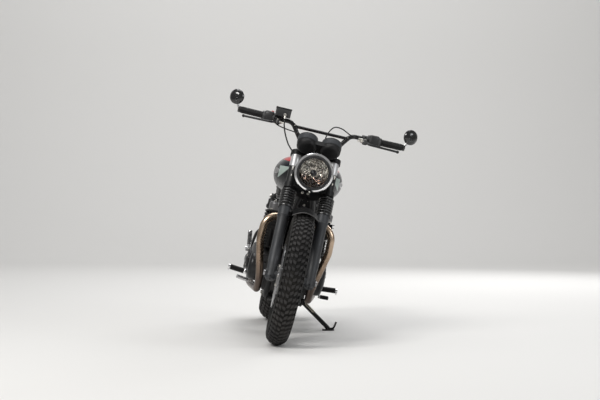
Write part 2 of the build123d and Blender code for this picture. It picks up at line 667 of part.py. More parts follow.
def hand_controls():
    """Switch housings, lever perches, levers and the brake fluid reservoir."""
    radius = BAR_DIAMETER / 2
    pieces = []
    start = GRIP_LENGTH + 1
    for side in (-1, 1):
        switch = sleeve(start, start + SWITCH_LENGTH, radius, 23, side)
        perch = sleeve(start + SWITCH_LENGTH + 2, start + SWITCH_LENGTH + 2 + PERCH_LENGTH, radius, 18, side)
        hub = along_bar(start + SWITCH_LENGTH + 16)
        pivot = Vector(hub.X, hub.Y - 30, hub.Z - 18)
        arm = cylinder_between(hub + Vector(0, -9, -5), pivot, 9)
        knee = Vector(hub.X + 32, hub.Y - 52, hub.Z - 26)
        tip = along_bar(24) + Vector(0, -50, -30)
        blade = tube([tuple(pivot), tuple(knee), tuple(tip)], 11, 24)
        ball = Pos(*tip) * Sphere(8)
        lever = blade + ball + arm
        lever = lever - cylinder_between(along_bar(0), along_bar(300), radius)
        if side < 0:
            lever = mirrored(lever)
        group = perch + lever
        pieces.append(switch)
        pieces.append(group)
    top = along_bar(start + SWITCH_LENGTH + 34)
    tank = Box(78, 50, 42)
    tank = fillet(tank.edges().filter_by(Axis.Z), 6)
    place = Vector(-top.X, top.Y - 22, top.Z + 34)
    body = Pos(place.X, place.Y, place.Z) * tank
    neck = cylinder_between((place.X, place.Y, place.Z - 15), (place.X - 8, top.Y - 4, top.Z + 4), 9)
    neck = neck - cylinder_between(flip([tuple(along_bar(0))])[0], flip([tuple(along_bar(300))])[0], radius)
    pieces[1] = pieces[1].fuse(body, neck)
    return pieces


BRAKE_HOSE_DIAMETER = 7.0
CABLE_DIAMETER = 6.0
CABLE_ROUTES = [
    # name, diameter, points from the lever or housing to the far end
    ("brake hose", BRAKE_HOSE_DIAMETER, [
        (-196, 331, 1098), (-190, 312, 1060), (-172, 312, 1002), (-150, 306, 938), (-141, 290, 872),
        (-140, 270, 806), (-136, 244, 742), (-122, 222, 682), (-104, 196, 622), (-88, 166, 560),
        (-74, 140, 502), (-66, 128, 450)]),
    ("clutch cable", CABLE_DIAMETER, [
        (211, 346, 1069), (180, 338, 1068), (142, 326, 1076), (98, 312, 1094), (56, 302, 1092),
        (30, 298, 1050), (24, 296, 992), (24, 300, 925.7)]),
    ("throttle cable", CABLE_DIAMETER, [
        (-250, 370, 1057.5), (-216, 350, 1041), (-176, 334, 1032), (-130, 318, 1026), (-84, 308, 1016),
        (-44, 303, 984), (-26, 300, 925.7)]),
]


def cable_bends(points):
    """The largest arc at each corner that its two runs allow."""
    bends = []
    for before, corner, after in zip(points, points[1:], points[2:]):
        first = Vector(*corner) - Vector(*before)
        second = Vector(*after) - Vector(*corner)
        half_turn = math.radians(first.get_angle(second)) / 2
        bends.append(0.45 * min(first.length, second.length) / math.tan(half_turn))
    return bends


def control_cables():
    """Front brake hose, clutch cable and throttle cable, all held by the steered parts."""
    cables = []
    for name, diameter, points in CABLE_ROUTES:
        bends = cable_bends(points)
        cable = tube(points, diameter, bends)
        run = sum((Vector(*b) - Vector(*a)).length for a, b in zip(points, points[1:]))
        print(name, "least bend", round(min(bends)), "share of volume",
              round(cable.volume / (math.pi * diameter ** 2 / 4 * run), 3))
        cables.append(cable)
    return cables


MIRROR_RISE = 60.0
MIRROR_OUT = 27.0


def mirrors():
    """Round bar-end mirrors on short stalks."""
    radius = MIRROR_DIAMETER / 2
    pieces = []
    for side in (-1, 1):
        plug = cylinder_between(along_bar(0), BAR_END + BAR_RUN * 10, 16)
        head = Vector(BAR_END.X + MIRROR_OUT + 5, BAR_END.Y + 6, BAR_END.Z + MIRROR_RISE)
        stalk = cylinder_between(BAR_END + BAR_RUN * 5, head + Vector(0, -10, -8), 5)
        face = make_face([
            Line((0, -14, 0), (6, -14, 0)),
            ThreePointArc((6, -14, 0), (radius * 0.75, -9, 0), (radius, 0, 0)),
            Line((radius, 0, 0), (radius, 6, 0)),
            Line((radius, 6, 0), (0, 6, 0)),
            Line((0, 6, 0), (0, -14, 0)),
        ])
        dish = revolve(face, Axis.Y).moved(Location(head, (0, 0, MIRROR_YAW)))
        piece = plug.fuse(stalk, dish)
        pieces.append(piece if side > 0 else mirrored(piece))
    return pieces


# Frame
CRADLE_X = 84.0
CRADLE_Z = 190.0
DOWN_TUBE = [(20, 296, 775), (58, 372, 600), (CRADLE_X, 405, 290), (CRADLE_X, 452, CRADLE_Z),
             (CRADLE_X, 790, CRADLE_Z), (66, PIVOT_Y - 25, 225), (62, PIVOT_Y, 300), (62, PIVOT_Y, RAIL_Z - 5)]
DOWN_TUBE_DIAMETER = 28.0
ENGINE_MOUNT_Y = (560, 740)
DOWN_TUBE_BENDS = [120, 200, 50, 120, 50, 30]
FRAME_TUBES = [
    ("spine", 42, [(0, 322, 822), (0, 720, 812), (0, PIVOT_Y - 25, RAIL_Z + 18)], [80]),
    ("rear cross tube", 28, [(-62, PIVOT_Y, RAIL_Z), (62, PIVOT_Y, RAIL_Z)], 0),
    ("lower cross tube", 26, [(-CRADLE_X, 470, CRADLE_Z), (CRADLE_X, 470, CRADLE_Z)], 0),
    ("spine gusset", 24, [(0, 345, 800), (0, 318, 770)], 0),
    ("front tank peg", 20, [(-31.7, 440, 819), (31.7, 440, 819)], 0),
    ("rear tank peg", 20, [(-31.7, 700, 812), (31.7, 700, 812)], 0),
]


def cradle_tube():
    """Left down tube, cradle and rear upright in one bend."""
    return tube(DOWN_TUBE, DOWN_TUBE_DIAMETER, DOWN_TUBE_BENDS)


STAY_FOOT = Vector(62, PIVOT_Y, 520)
STAY_TOP = Vector(RAIL_HALF - 4, SHOCK_TOP_Y - 25, RAIL_Z - 8)


def rail_stay():
    """Left strut from the rear upright to the seat rail."""
    return cylinder_between(STAY_FOOT, STAY_TOP, STAY_DIAMETER / 2)


def frame():
    """Double cradle frame with its head tube, pivot plates, seat rails and lugs."""
    low = LOWER_YOKE_S + LOWER_YOKE_THICK + HEAD_GAP
    high = UPPER_YOKE_S - HEAD_GAP
    head = lathe_fork([(0, low), (HEAD_TUBE_DIAMETER / 2, low), (HEAD_TUBE_DIAMETER / 2, high), (0, high)])
    bore = lathe_fork([(0, low - 5), (STEM_DIAMETER / 2 + RUNNING_FIT, low - 5),
                       (STEM_DIAMETER / 2 + RUNNING_FIT, high + 5), (0, high + 5)])
    pieces = [tube(points, diameter, bend) for name, diameter, points, bend in FRAME_TUBES]
    pieces += both_sides(cradle_tube())
    rail = [(62, PIVOT_Y - 25, RAIL_Z), (RAIL_HALF, PIVOT_Y + 105, RAIL_Z), (RAIL_HALF, RAIL_END, RAIL_Z)]
    pieces.append(tube(rail + flip(rail)[::-1], RAIL_DIAMETER, [80, 90, 90, 80]))
    pieces.append(cylinder_between((-RAIL_HALF, WHEELBASE, RAIL_Z), (RAIL_HALF, WHEELBASE, RAIL_Z),
                                   CROSS_TUBE / 2))
    pieces += both_sides(rail_stay())
    pin_z = RAIL_Z - 4
    lug = cylinder_between((RAIL_HALF - 6, SHOCK_TOP_Y, pin_z), (SHOCK_X - 13, SHOCK_TOP_Y, pin_z), 12)
    pin = cylinder_between((RAIL_HALF, SHOCK_TOP_Y, pin_z), (SHOCK_X + 17, SHOCK_TOP_Y, pin_z), 7)
    pieces += both_sides(lug) + both_sides(pin)
    plate = Pos(62, PIVOT_Y + 8, PIVOT_Z) * Box(12, 60, 90)
    pieces += both_sides(fillet(plate.edges().filter_by(Axis.X), 18))
    pivot = cylinder_between((-68, PIVOT_Y, PIVOT_Z), (68, PIVOT_Y, PIVOT_Z), 9)
    pieces.append(pivot)
    inner = STAND_PIVOT - STAND_AXIS * (STAND_EYE_HALF + 1)
    pieces.append(cylinder_between((84, 798, 180), inner - STAND_AXIS * 9, 8))
    pieces.append(cylinder_between(inner - STAND_AXIS * 12, inner, 15))
    pieces.append(cylinder_between(inner, STAND_PIVOT + STAND_AXIS * (STAND_EYE_HALF + 5), STAND_PIN_RADIUS))
    pieces.append(cylinder_between(STAND_PIVOT + STAND_AXIS * (STAND_EYE_HALF + SEAT_GAP),
                                   STAND_PIVOT + STAND_AXIS * (STAND_EYE_HALF + 5), 11))
    return head.fuse(*pieces) - bore


def swingarm():
    """Two box arms that flare out past the chain, welded to the pivot tube."""
    pieces = [cylinder_between((-47, PIVOT_Y, PIVOT_Z), (47, PIVOT_Y, PIVOT_Z), 20)]
    half = ARM_THICK / 2
    flared = WHEELBASE - REAR_TYRE_RADIUS - 49
    start = PIVOT_Y + 0.3 * (flared - PIVOT_Y)
    end = WHEELBASE + 45
    for side in (-1, 1):
        outline = Polyline((side * 24, PIVOT_Y + 6), (side * 47, PIVOT_Y + 6), (side * 47, start),
                           (side * (ARM_CENTRE + half), flared), (side * (ARM_CENTRE + half), end),
                           (side * (ARM_CENTRE - half), end), (side * (ARM_CENTRE - half), flared + 12),
                           (side * 24, start + 4), close=True)
        arm = extrude(Pos(0, 0, PIVOT_Z - 4 - ARM_HEIGHT / 2) * make_face(outline), amount=ARM_HEIGHT)
        lug = Pos(side * ARM_CENTRE, SHOCK_LOW_Y, (SHOCK_LOW_Z + PIVOT_Z) / 2) * Box(ARM_THICK, 40, 80)
        lug = fillet(lug.edges().filter_by(Axis.X), 12)
        pin = cylinder_between((side * ARM_CENTRE, SHOCK_LOW_Y, SHOCK_LOW_Z),
                               (side * (SHOCK_X + 17), SHOCK_LOW_Y, SHOCK_LOW_Z), 7)
        pieces += [arm, lug, pin]
    hole = cylinder_between((-200, PIVOT_Y, PIVOT_Z), (200, PIVOT_Y, PIVOT_Z), 9)
    axle_hole = cylinder_between((-200, WHEELBASE, REAR_AXLE_Z), (200, WHEELBASE, REAR_AXLE_Z),
                                 AXLE_DIAMETER / 2)
    return pieces[0].fuse(*pieces[1:]) - hole - axle_hole


def shocks():
    """Damper, spring collars and coil, with an eye at each end."""
    top = Vector(SHOCK_X, SHOCK_TOP_Y, RAIL_Z - 4)
    low = Vector(SHOCK_X, SHOCK_LOW_Y, SHOCK_LOW_Z)
    length = (top - low).length
    profile = [(0, 12), (13, 12), (13, 50), (28, 50), (28, 58)]
    turns = 9
    start = 60
    pitch = (length - 75 - start) / turns
    for index in range(turns):
        base = start + index * pitch
        profile += [(19, base), (26, base + pitch * 0.3), (26, base + pitch * 0.6), (19, base + pitch * 0.9)]
    profile += [(28, length - 70), (28, length - 60), (22, length - 50), (22, length - 22),
                (12, length - 14), (0, length - 14)]
    outline = make_face(Polyline(*[(radius, 0, s) for radius, s in profile], close=True))
    body = revolve(outline, Axis.Z)
    axis = Plane(origin=low, x_dir=(1, 0, 0), z_dir=(top - low).normalized())
    body = axis.location * body
    eyes = [cylinder_between(end - Vector(12, 0, 0), end + Vector(12, 0, 0), 16) for end in (low, top)]
    pins = [cylinder_between(end - Vector(20, 0, 0), end + Vector(20, 0, 0), 7) for end in (low, top)]
    shock = body.fuse(*eyes).cut(*pins)
    return both_sides(shock)


# Engine
def side_profile(points, x_from, x_to, corner):
    """An outline in the machine's side view, pulled across from one x to another."""
    sketch = make_face(Polyline(*[(0, y, z) for y, z in points], close=True))
    solid = extrude(sketch, amount=x_to - x_from, dir=(1, 0, 0)).moved(Location((x_from, 0, 0)))
    return fillet(solid.edges().filter_by(Axis.X), corner)


def crankcase():
    half = 112
    main = side_profile([(452, 270), (448, 400), (500, 432), (700, 432), (800, 412), (872, 380),
                         (872, 290), (820, 222), (470, 218)], -half, half, 14)
    sump = side_profile([(500, 168), (500, 240), (790, 240), (790, 168)], -66, 66, 14)
    recess = Pos(half - 18, 820, SPROCKET_Z) * Box(38, 178, 150)
    reach = CRADLE_X - DOWN_TUBE_DIAMETER / 2 - SEAT_GAP
    bosses = [cylinder_between((-reach, y, CRADLE_Z), (reach, y, CRADLE_Z), 12) for y in ENGINE_MOUNT_Y]
    return (main + sump).fuse(*bosses) - recess


def finned_block(z_low, z_high, half, y_front, y_back, fins, fin_half, fin_reach):
    """A core with thin cooling fins round it."""
    depth = y_back - y_front
    centre_y = (y_front + y_back) / 2
    core = Pos(0, centre_y, (z_low + z_high) / 2) * Box(2 * half, depth, z_high - z_low)
    plates = []
    pitch = (z_high - z_low) / fins
    plate = Box(2 * fin_half, depth + 2 * fin_reach, 3.4)
    plate = fillet(plate.edges().filter_by(Axis.Z), 16)
    for index in range(fins):
        plates.append(Pos(0, centre_y, z_low + (index + 0.5) * pitch) * plate)
    return core.fuse(*plates)


BLOCK_LOW = 432.0
HEAD_LOW = 532.0
COVER_LOW = 624.0
COVER_TOP = 668.0
ENGINE_FRONT = 482.0
ENGINE_BACK = 650.0


def cylinder_block():
    return finned_block(BLOCK_LOW, HEAD_LOW, 148, ENGINE_FRONT, ENGINE_BACK, 7, 162, 14)


def cylinder_head():
    head = finned_block(HEAD_LOW, COVER_LOW, 158, ENGINE_FRONT, ENGINE_BACK, 6, 180, 14)
    ports = [cylinder_between((side * 70, ENGINE_FRONT + 20, PORT_Z), (side * 70, PORT_FACE_Y, PORT_Z), 24)
             for side in (-1, 1)]
    inlets = [cylinder_between((side * 62, ENGINE_BACK - 20, 594), (side * 62, ENGINE_BACK + 24, 594), 26)
              for side in (-1, 1)]
    return head.fuse(*ports, *inlets)


def cam_cover():
    body = Pos(0, (ENGINE_FRONT + ENGINE_BACK) / 2, (COVER_LOW + COVER_TOP) / 2)
    shell = body * Box(330, ENGINE_BACK - ENGINE_FRONT - 10, COVER_TOP - COVER_LOW)
    shell = fillet(shell.edges().filter_by(Axis.Z), 30)
    return fillet(shell.edges().group_by(Axis.Z)[-1], 14)


PORT_Z = 598.0
PORT_FACE_Y = 462.0
COVER_INNER = 112.5


def engine_covers():
    """Clutch cover on the right, alternator and sprocket covers on the left."""
    clutch = extrude(Plane.YZ.offset(-COVER_INNER) * make_hull((Sketch() + [
        Pos(716, 350) * Circle(92), Pos(585, 322) * Circle(74)]).edges()), amount=-88)
    clutch = fillet(clutch.edges().group_by(Axis.X)[0], 22)
    boss = cylinder_between((-198, 716, 350), (-214, 716, 350), 58)
    boss = fillet(boss.edges().group_by(Axis.X)[0], 7)
    alternator = cylinder_between((COVER_INNER, 590, 325), (196, 590, 325), 84)
    alternator = fillet(alternator.edges().group_by(Axis.X)[-1], 22)
    sprocket = extrude(Plane.YZ.offset(COVER_INNER) * make_hull((Sketch() + [
        Pos(790, 338) * Circle(58), Pos(712, 340) * Circle(44)]).edges()), amount=34)
    sprocket = fillet(sprocket.edges().group_by(Axis.X)[-1], 10)
    sprocket = sprocket - cylinder_between((COVER_INNER, 590, 325), (200, 590, 325), 85)
    return [clutch + boss, alternator, sprocket]


def throttle_bodies():
    pieces = []
    for side in (-1, 1):
        start = (side * 62, ENGINE_BACK + 24, 594)
        runner = cylinder_between(start, (side * 62, 792, 594), 24)
        body = Pos(side * 62, 728, 606) * Box(70, 52, 78)
        pieces.append(runner + fillet(body.edges().filter_by(Axis.Y), 12))
    box = Pos(0, 842, 610) * Box(86, 100, 130)
    box = fillet(box.edges().filter_by(Axis.Z), 16)
    plenum = Pos(0, 815, 612) * Box(148, 46, 96)
    return pieces[0].fuse(pieces[1], box, fillet(plenum.edges().filter_by(Axis.Y), 16))


RADIATOR_Z = 470.0


def radiator():
    """Slim core with its side tanks, ahead of the down tubes."""
    core = Box(150, 26, 190)
    tanks = [Pos(0, 0, side * 104) * Box(166, 32, 22) for side in (-1, 1)]
    body = core.fuse(*tanks)
    upper = Vector(*DOWN_TUBE[1])
    lower = Vector(*DOWN_TUBE[2])
    tilt = math.degrees(math.atan2(lower.Y - upper.Y, upper.Z - lower.Z))
    share = (upper.Z - RADIATOR_Z) / (upper.Z - lower.Z)
    tube_y = upper.Y + (lower.Y - upper.Y) * share
    y = tube_y - (DOWN_TUBE_DIAMETER / 2 + 16 + SEAT_GAP) / math.cos(math.radians(tilt))
    return Location((0, y, RADIATOR_Z), (tilt, 0, 0)) * body


# Exhaust
HEADER_PATH = [(70, PORT_FACE_Y, PORT_Z), (74, 410, 602), (172, 384, 592), (176, 392, 470), (132, 418, 268),
               (134, 486, 215), (164, 800, 217), (172, 872, 222), (178, 985, 282)]
HEADER_BENDS = [24, 68, 90, 120, 44, 120, 90]
SILENCER_TABLE = [
    # distance along the silencer, radius
    (0, 20), (14, 22), (110, 40), (560, 40), (600, 35), (640, 24), (640, 18), (600, 18)]
SILENCER_START = Vector(178, 985, 282)
SILENCER_END = Vector(178, WHEELBASE + 160, 318)


def exhaust_headers():
    pipe = tube(HEADER_PATH, HEADER_DIAMETER, HEADER_BENDS)
    flange = cylinder_between((70, PORT_FACE_Y, PORT_Z), (70, PORT_FACE_Y - 9, PORT_Z), 28)
    port = cylinder_between((70, PORT_FACE_Y, PORT_Z), (70, PORT_FACE_Y + 30, PORT_Z), 30)
    return both_sides(pipe + flange - port)


def silencers():
    axis = Plane(origin=SILENCER_START, z_dir=(SILENCER_END - SILENCER_START).normalized())
    outline = [(radius, 0, s) for s, radius in SILENCER_TABLE]
    outline = [(0, 0, 0)] + outline + [(0, 0, SILENCER_TABLE[-1][0])]
    body = revolve(make_face(Polyline(*outline, close=True)), Axis.Z)
    body = axis.location * body
    body = body - tube(HEADER_PATH, HEADER_DIAMETER, HEADER_BENDS)
    return both_sides(body)


# Bodywork
TANK_SECTIONS = [
    # y, floor half width, floor z, widest half width, widest z, shoulder half width, shoulder z, top z
    (398, 34, 800, 72, 848, 40, 892, 904),
    (470, 66, 752, 134, 830, 74, 906, 930),
    (590, 86, 730, 174, 822, 98, 918, 950),
    (730, 86, 730, 176, 820, 98, 910, 944),
    (840, 72, 742, 140, 814, 74, 884, 912),
    (905, 50, 768, 92, 812, 46, 850, 866),
]


def tank_section(y, floor_half, floor_z, wide_half, wide_z, shoulder_half, shoulder_z, top_z):
    """One cross-section of the tank, of a flat floor and three arcs."""
    return make_face([
        Line((-floor_half, y, floor_z), (floor_half, y, floor_z)),
        ThreePointArc((floor_half, y, floor_z), (wide_half, y, wide_z), (shoulder_half, y, shoulder_z)),
        ThreePointArc((shoulder_half, y, shoulder_z), (0, y, top_z), (-shoulder_half, y, shoulder_z)),
        ThreePointArc((-shoulder_half, y, shoulder_z), (-wide_half, y, wide_z), (-floor_half, y, floor_z)),
    ])


def fuel_tank():
    body = loft([tank_section(*row) for row in TANK_SECTIONS])
    tunnel = Pos(0, 660, 790) * Box(64, 620, 132)
    return body - tunnel


def filler_cap():
    cap = Pos(0, 560, 946) * Cylinder(34, 16, align=(Align.CENTER, Align.CENTER, Align.MIN))
    cap = fillet(cap.edges().group_by(Axis.Z)[-1], 4)
    return cap - fuel_tank()


SEAT_START = PIVOT_Y + 7
SEAT_SECTIONS = [
    # share of the length, floor half width, side half width, side z above the floor, top z above the floor
    (0, 82, 92, 52, 74),
    (0.15, 128, 146, 48, 78),
    (0.44, 136, 150, 50, 80),
    (0.75, 132, 146, 56, 92),
    (1, 104, 112, 56, 84),
]


def seat():
    """Bench seat on the rails, as one plain pad."""
    base = RAIL_Z + RAIL_DIAMETER / 2 + SEAT_GAP
    faces = []
    for share, floor_half, side_half, side_z, top_z in SEAT_SECTIONS:
        y = SEAT_START + share * (RAIL_END - SEAT_START)
        faces.append(make_face([
            Line((-floor_half, y, base), (floor_half, y, base)),
            Line((floor_half, y, base), (side_half, y, base + side_z)),
            ThreePointArc((side_half, y, base + side_z), (0, y, base + top_z),
                          (-side_half, y, base + side_z)),
            Line((-side_half, y, base + side_z), (-floor_half, y, base)),
        ]))
    return loft(faces)


def side_panels():
    panel = side_profile([(806, 520), (798, 640), (812, 682), (985, 682), (960, 600), (880, 520)],
                         77.3, 100, 24)
    inner = side_profile([(811, 525), (803, 640), (815, 678), (978, 678), (955, 603), (877, 525)],
                         70, 97, 20)
    peg = cylinder_between((76.3, 905, 620), (98, 905, 620), 8)
    return both_sides(panel - inner + peg)


def rear_mudguard():
    inner = REAR_GUARD_RADIUS
    outer = inner + GUARD_THICK
    half = 84
    drop = 24
    face = make_face([
        ThreePointArc((-half, 0, inner - drop), (0, 0, outer), (half, 0, inner - drop)),
        Line((half, 0, inner - drop), (half - GUARD_THICK, 0, inner - drop)),
        ThreePointArc((half - GUARD_THICK, 0, inner - drop), (0, 0, inner),
                      (-half + GUARD_THICK, 0, inner - drop)),
        Line((-half + GUARD_THICK, 0, inner - drop), (-half, 0, inner - drop)),
    ])
    blade = revolve(face.rotate(Axis.X, 62), Axis.X, revolution_arc=-112)
    return blade.moved(Location(REAR_AXLE))


def tail_lamp():
    start = RAIL_END + RAIL_DIAMETER / 2 + SEAT_GAP
    lamp = cylinder_between((0, start, RAIL_Z + 14), (0, start + 62, RAIL_Z + 14), 34)
    return fillet(lamp.edges().group_by(Axis.Y)[-1], 12)


def chain():
    """The chain as one closed loop round both sprockets."""
    front = Vector(0, SPROCKET_Y, SPROCKET_Z)
    rear = Vector(0, WHEELBASE, REAR_AXLE_Z)
    small = pitch_radius(FRONT_TEETH)
    large = pitch_radius(REAR_TEETH)
    half = CHAIN_HEIGHT / 2

    def belt(grow):
        circles = Sketch() + [Pos(front.Y, front.Z) * Circle(small + grow),
                              Pos(rear.Y, rear.Z) * Circle(large + grow)]
        return make_hull(circles.edges())

    inner_half = half - 1.5
    core = belt(inner_half) - belt(-inner_half)
    core = extrude(Plane.YZ.offset(CHAIN_LINE - CHAIN_WIDTH / 2 + 2) * core, amount=CHAIN_WIDTH - 4)
    pitch_line = belt(0).faces()[0].outer_wire()
    count = 2 * round(pitch_line.length / CHAIN_PITCH / 2)
    long = CHAIN_PITCH / 2 + CHAIN_PLATE_HEIGHT / 2 - 0.5
    tall = CHAIN_PLATE_HEIGHT / 2
    corner = tall * 0.62
    plate = make_face(Polyline((-long, -tall + corner), (-long + corner, -tall), (long - corner, -tall),
                               (long, -tall + corner), (long, tall - corner), (long - corner, tall),
                               (-long + corner, tall), (-long, tall - corner), close=True))
    plates = []
    for index in range(0, count, 2):
        start = pitch_line.position_at(index / count)
        end = pitch_line.position_at((index + 1) / count)
        middle = (start + end) / 2
        turn = math.degrees(math.atan2(end.Y - start.Y, end.X - start.X))
        plates.append(Pos(middle.X, middle.Y) * Rot(0, 0, turn) * plate)
    plates = extrude(Plane.YZ.offset(CHAIN_LINE - CHAIN_WIDTH / 2) * (Sketch() + plates), amount=CHAIN_WIDTH)
    return core + plates


def front_sprocket():
    root = pitch_radius(FRONT_TEETH) - CHAIN_HEIGHT / 2 - 0.5
    return cylinder_between((75.5, SPROCKET_Y, SPROCKET_Z), (CHAIN_LINE + 5, SPROCKET_Y, SPROCKET_Z), root)


def chain_guard():
    guard = side_profile([(WHEELBASE - 440, 412), (WHEELBASE - 440, 424), (WHEELBASE - 30, 462),
                          (WHEELBASE + 50, 450), (WHEELBASE + 50, 438), (WHEELBASE - 30, 450)],
                         CHAIN_LINE - 12, CHAIN_LINE + 19, 3)
    leg = Pos(ARM_CENTRE - 8, WHEELBASE - 270, 388.3) * Box(8, 20, 82)
    return guard + leg


def rear_caliper():
    place = Vector(REAR_DISC_X + 2.5, WHEELBASE - 96, REAR_AXLE_Z + 62)
    body = Pos(*place) * Box(36, 84, 46)
    body = fillet(body.edges().filter_by(Axis.X), 12)
    room = lathe_x([
        (REAR_DISC_X - DISC_THICK / 2 - 1.5, 0), (REAR_DISC_X + DISC_THICK / 2 + 1.5, 0),
        (REAR_DISC_X + DISC_THICK / 2 + 1.5, REAR_DISC_DIAMETER / 2 + 4),
        (REAR_DISC_X - DISC_THICK / 2 - 1.5, REAR_DISC_DIAMETER / 2 + 4),
    ], REAR_AXLE)
    arm_top = PIVOT_Z - 4 + ARM_HEIGHT / 2
    stay = Pos(-ARM_CENTRE + 9, place.Y - 24, arm_top + SEAT_GAP + 18) * Box(12, 24, 36)
    return body.fuse(stay) - room


# Rider's feet
PEG_DIAMETER = 26.0
PEG_START = (200, 866, 268)
PEG_END = (300, 862, 277)
HANGER_DIAMETER = 16.0


def footrests():
    """Rider's pegs on bent hangers and the passenger's pegs folded up."""
    route = [(70, 850, 212), (108, 858, 236), (126, 866, 266), (204, 866, 268)]
    hanger = tube(route, HANGER_DIAMETER, [16, 12])
    hanger = hanger - cradle_tube()
    hanger = hanger.solids().sort_by(SortBy.VOLUME)[-1]
    peg = cylinder_between(PEG_START, PEG_END, PEG_DIAMETER / 2)
    rider = hanger + peg
    root = STAY_FOOT + (STAY_TOP - STAY_FOOT) * 0.59
    foot_y = root.Y + 70
    loop = tube([tuple(root), (190, root.Y + 45, 480), (206, foot_y, 384)], 16, 60) - rail_stay()
    loop = loop.solids().sort_by(SortBy.VOLUME)[-1]
    folded = cylinder_between((212, foot_y, 386), (226, foot_y, 483), 11)
    nut = cylinder_between((198, foot_y, 384), (232, foot_y, 380), 13)
    passenger = loop.fuse(folded, nut)
    return both_sides(rider) + both_sides(passenger)


def foot_controls():
    """Brake pedal on the right, gear lever on the left."""
    pedal = tube([(-191, 866, 268), (-191, 770, 232), (-191, 700, 234)], 11, 60)
    pedal_eye = cylinder_between((-184, 866, 267.5), (-198, 866, 267.9), 14)
    hanger = cylinder_between((-126, 866, 266), (-204, 866, 268), HANGER_DIAMETER / 2)
    pad = cylinder_between((-183, 700, 234), (-246, 694, 244), 9)
    lever = tube([(147, 752, 292), (186, 752, 288), (196, 700, 254), (196, 640, 238)], 10, [14, 24])
    toe = cylinder_between((190, 640, 238), (246, 638, 240), 9)
    return [pedal.fuse(pedal_eye, pad) - hanger, lever + toe]


def side_stand():
    """Leg, foot pad and tang, deployed and on its stop."""
    foot = Vector(STAND_FOOT_X, STAND_FOOT_Y, ground_z(STAND_FOOT_X))
    normal = Vector(-SIN_LEAN, 0, COS_LEAN)
    ankle = foot + normal * (STAND_FOOT_THICK + 4)
    eye = cylinder_between(STAND_PIVOT - STAND_AXIS * STAND_EYE_HALF,
                           STAND_PIVOT + STAND_AXIS * STAND_EYE_HALF, STAND_EYE_RADIUS)
    leg = cylinder_between(STAND_PIVOT, ankle, STAND_LEG_DIAMETER / 2)
    pad_plane = Plane(origin=foot, x_dir=(COS_LEAN, 0, SIN_LEAN), z_dir=normal)
    pad = extrude(pad_plane * RectangleRounded(62, 46, 12), amount=STAND_FOOT_THICK)
    below = extrude(pad_plane * Rectangle(400, 400), amount=-60)
    tang = tube([tuple(ankle), tuple(ankle + Vector(26, -6, 2)), tuple(ankle + Vector(34, -8, 42))], 10, 16)
    hole = cylinder_between(STAND_PIVOT - STAND_AXIS * 30, STAND_PIVOT + STAND_AXIS * 30,
                            STAND_PIN_RADIUS + RUNNING_FIT)
    return eye.fuse(leg, pad, tang) - hole - below


NODES = [
    frame, swingarm, shocks, crankcase, cylinder_block, cylinder_head, cam_cover, engine_covers,
    throttle_bodies, radiator, exhaust_headers, silencers, fuel_tank, filler_cap, seat, side_panels,
    rear_mudguard, tail_lamp, footrests, foot_controls, chain, front_sprocket, chain_guard,
    rear_caliper, rear_axle, yokes, fork_tubes, fork_sliders, fork_gaiters, front_mudguard, front_axle,
    front_caliper, lamp_ears, headlamp_shell, headlamp_rim, headlamp_lens, instruments, handlebar,
    grips, hand_controls, control_cables, mirrors, front_tyre, front_wheel, front_disc, rear_tyre, rear_wheel,
    rear_disc, rear_sprocket, side_stand,
]


def leaned(shape):
    """The shape after the machine has come down on its side stand."""
    return shape.rotate(Axis.Y, LEAN)


def build():
    """Every node by name, leaning, with the origin under the middle of the whole."""
    shapes = {}
    for maker in NODES:
        made = maker()
        if isinstance(made, list):
            made = Compound(children=[Compound(piece.solids()) if len(piece.solids()) > 1
                                      else piece.solid() for piece in made])
        shapes[maker.__name__] = leaned(made)
    box = Compound(children=[Compound(shape.solids()) for shape in shapes.values()]).bounding_box()
    shift = Location((-(box.min.X + box.max.X) / 2, -(box.min.Y + box.max.Y) / 2, 0))
    return {name: shape.moved(shift) for name, shape in shapes.items()}, shift, box


if __name__ == "__main__":
    os.makedirs("parts", exist_ok=True)
    SHAPES, SHIFT, BOX = build()
    for node, shape in SHAPES.items():
        export_step(shape, f"parts/{node}.step")
    print("size", BOX.size, "shift", SHIFT.position)
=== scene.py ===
import random
from bisect import bisect_right
from math import acos, asin, atan2, copysign, cos, exp, hypot, pi, radians, sin, sqrt

import bmesh
import bpy
from mathutils import Matrix, Vector
from mathutils.bvhtree import BVHTree


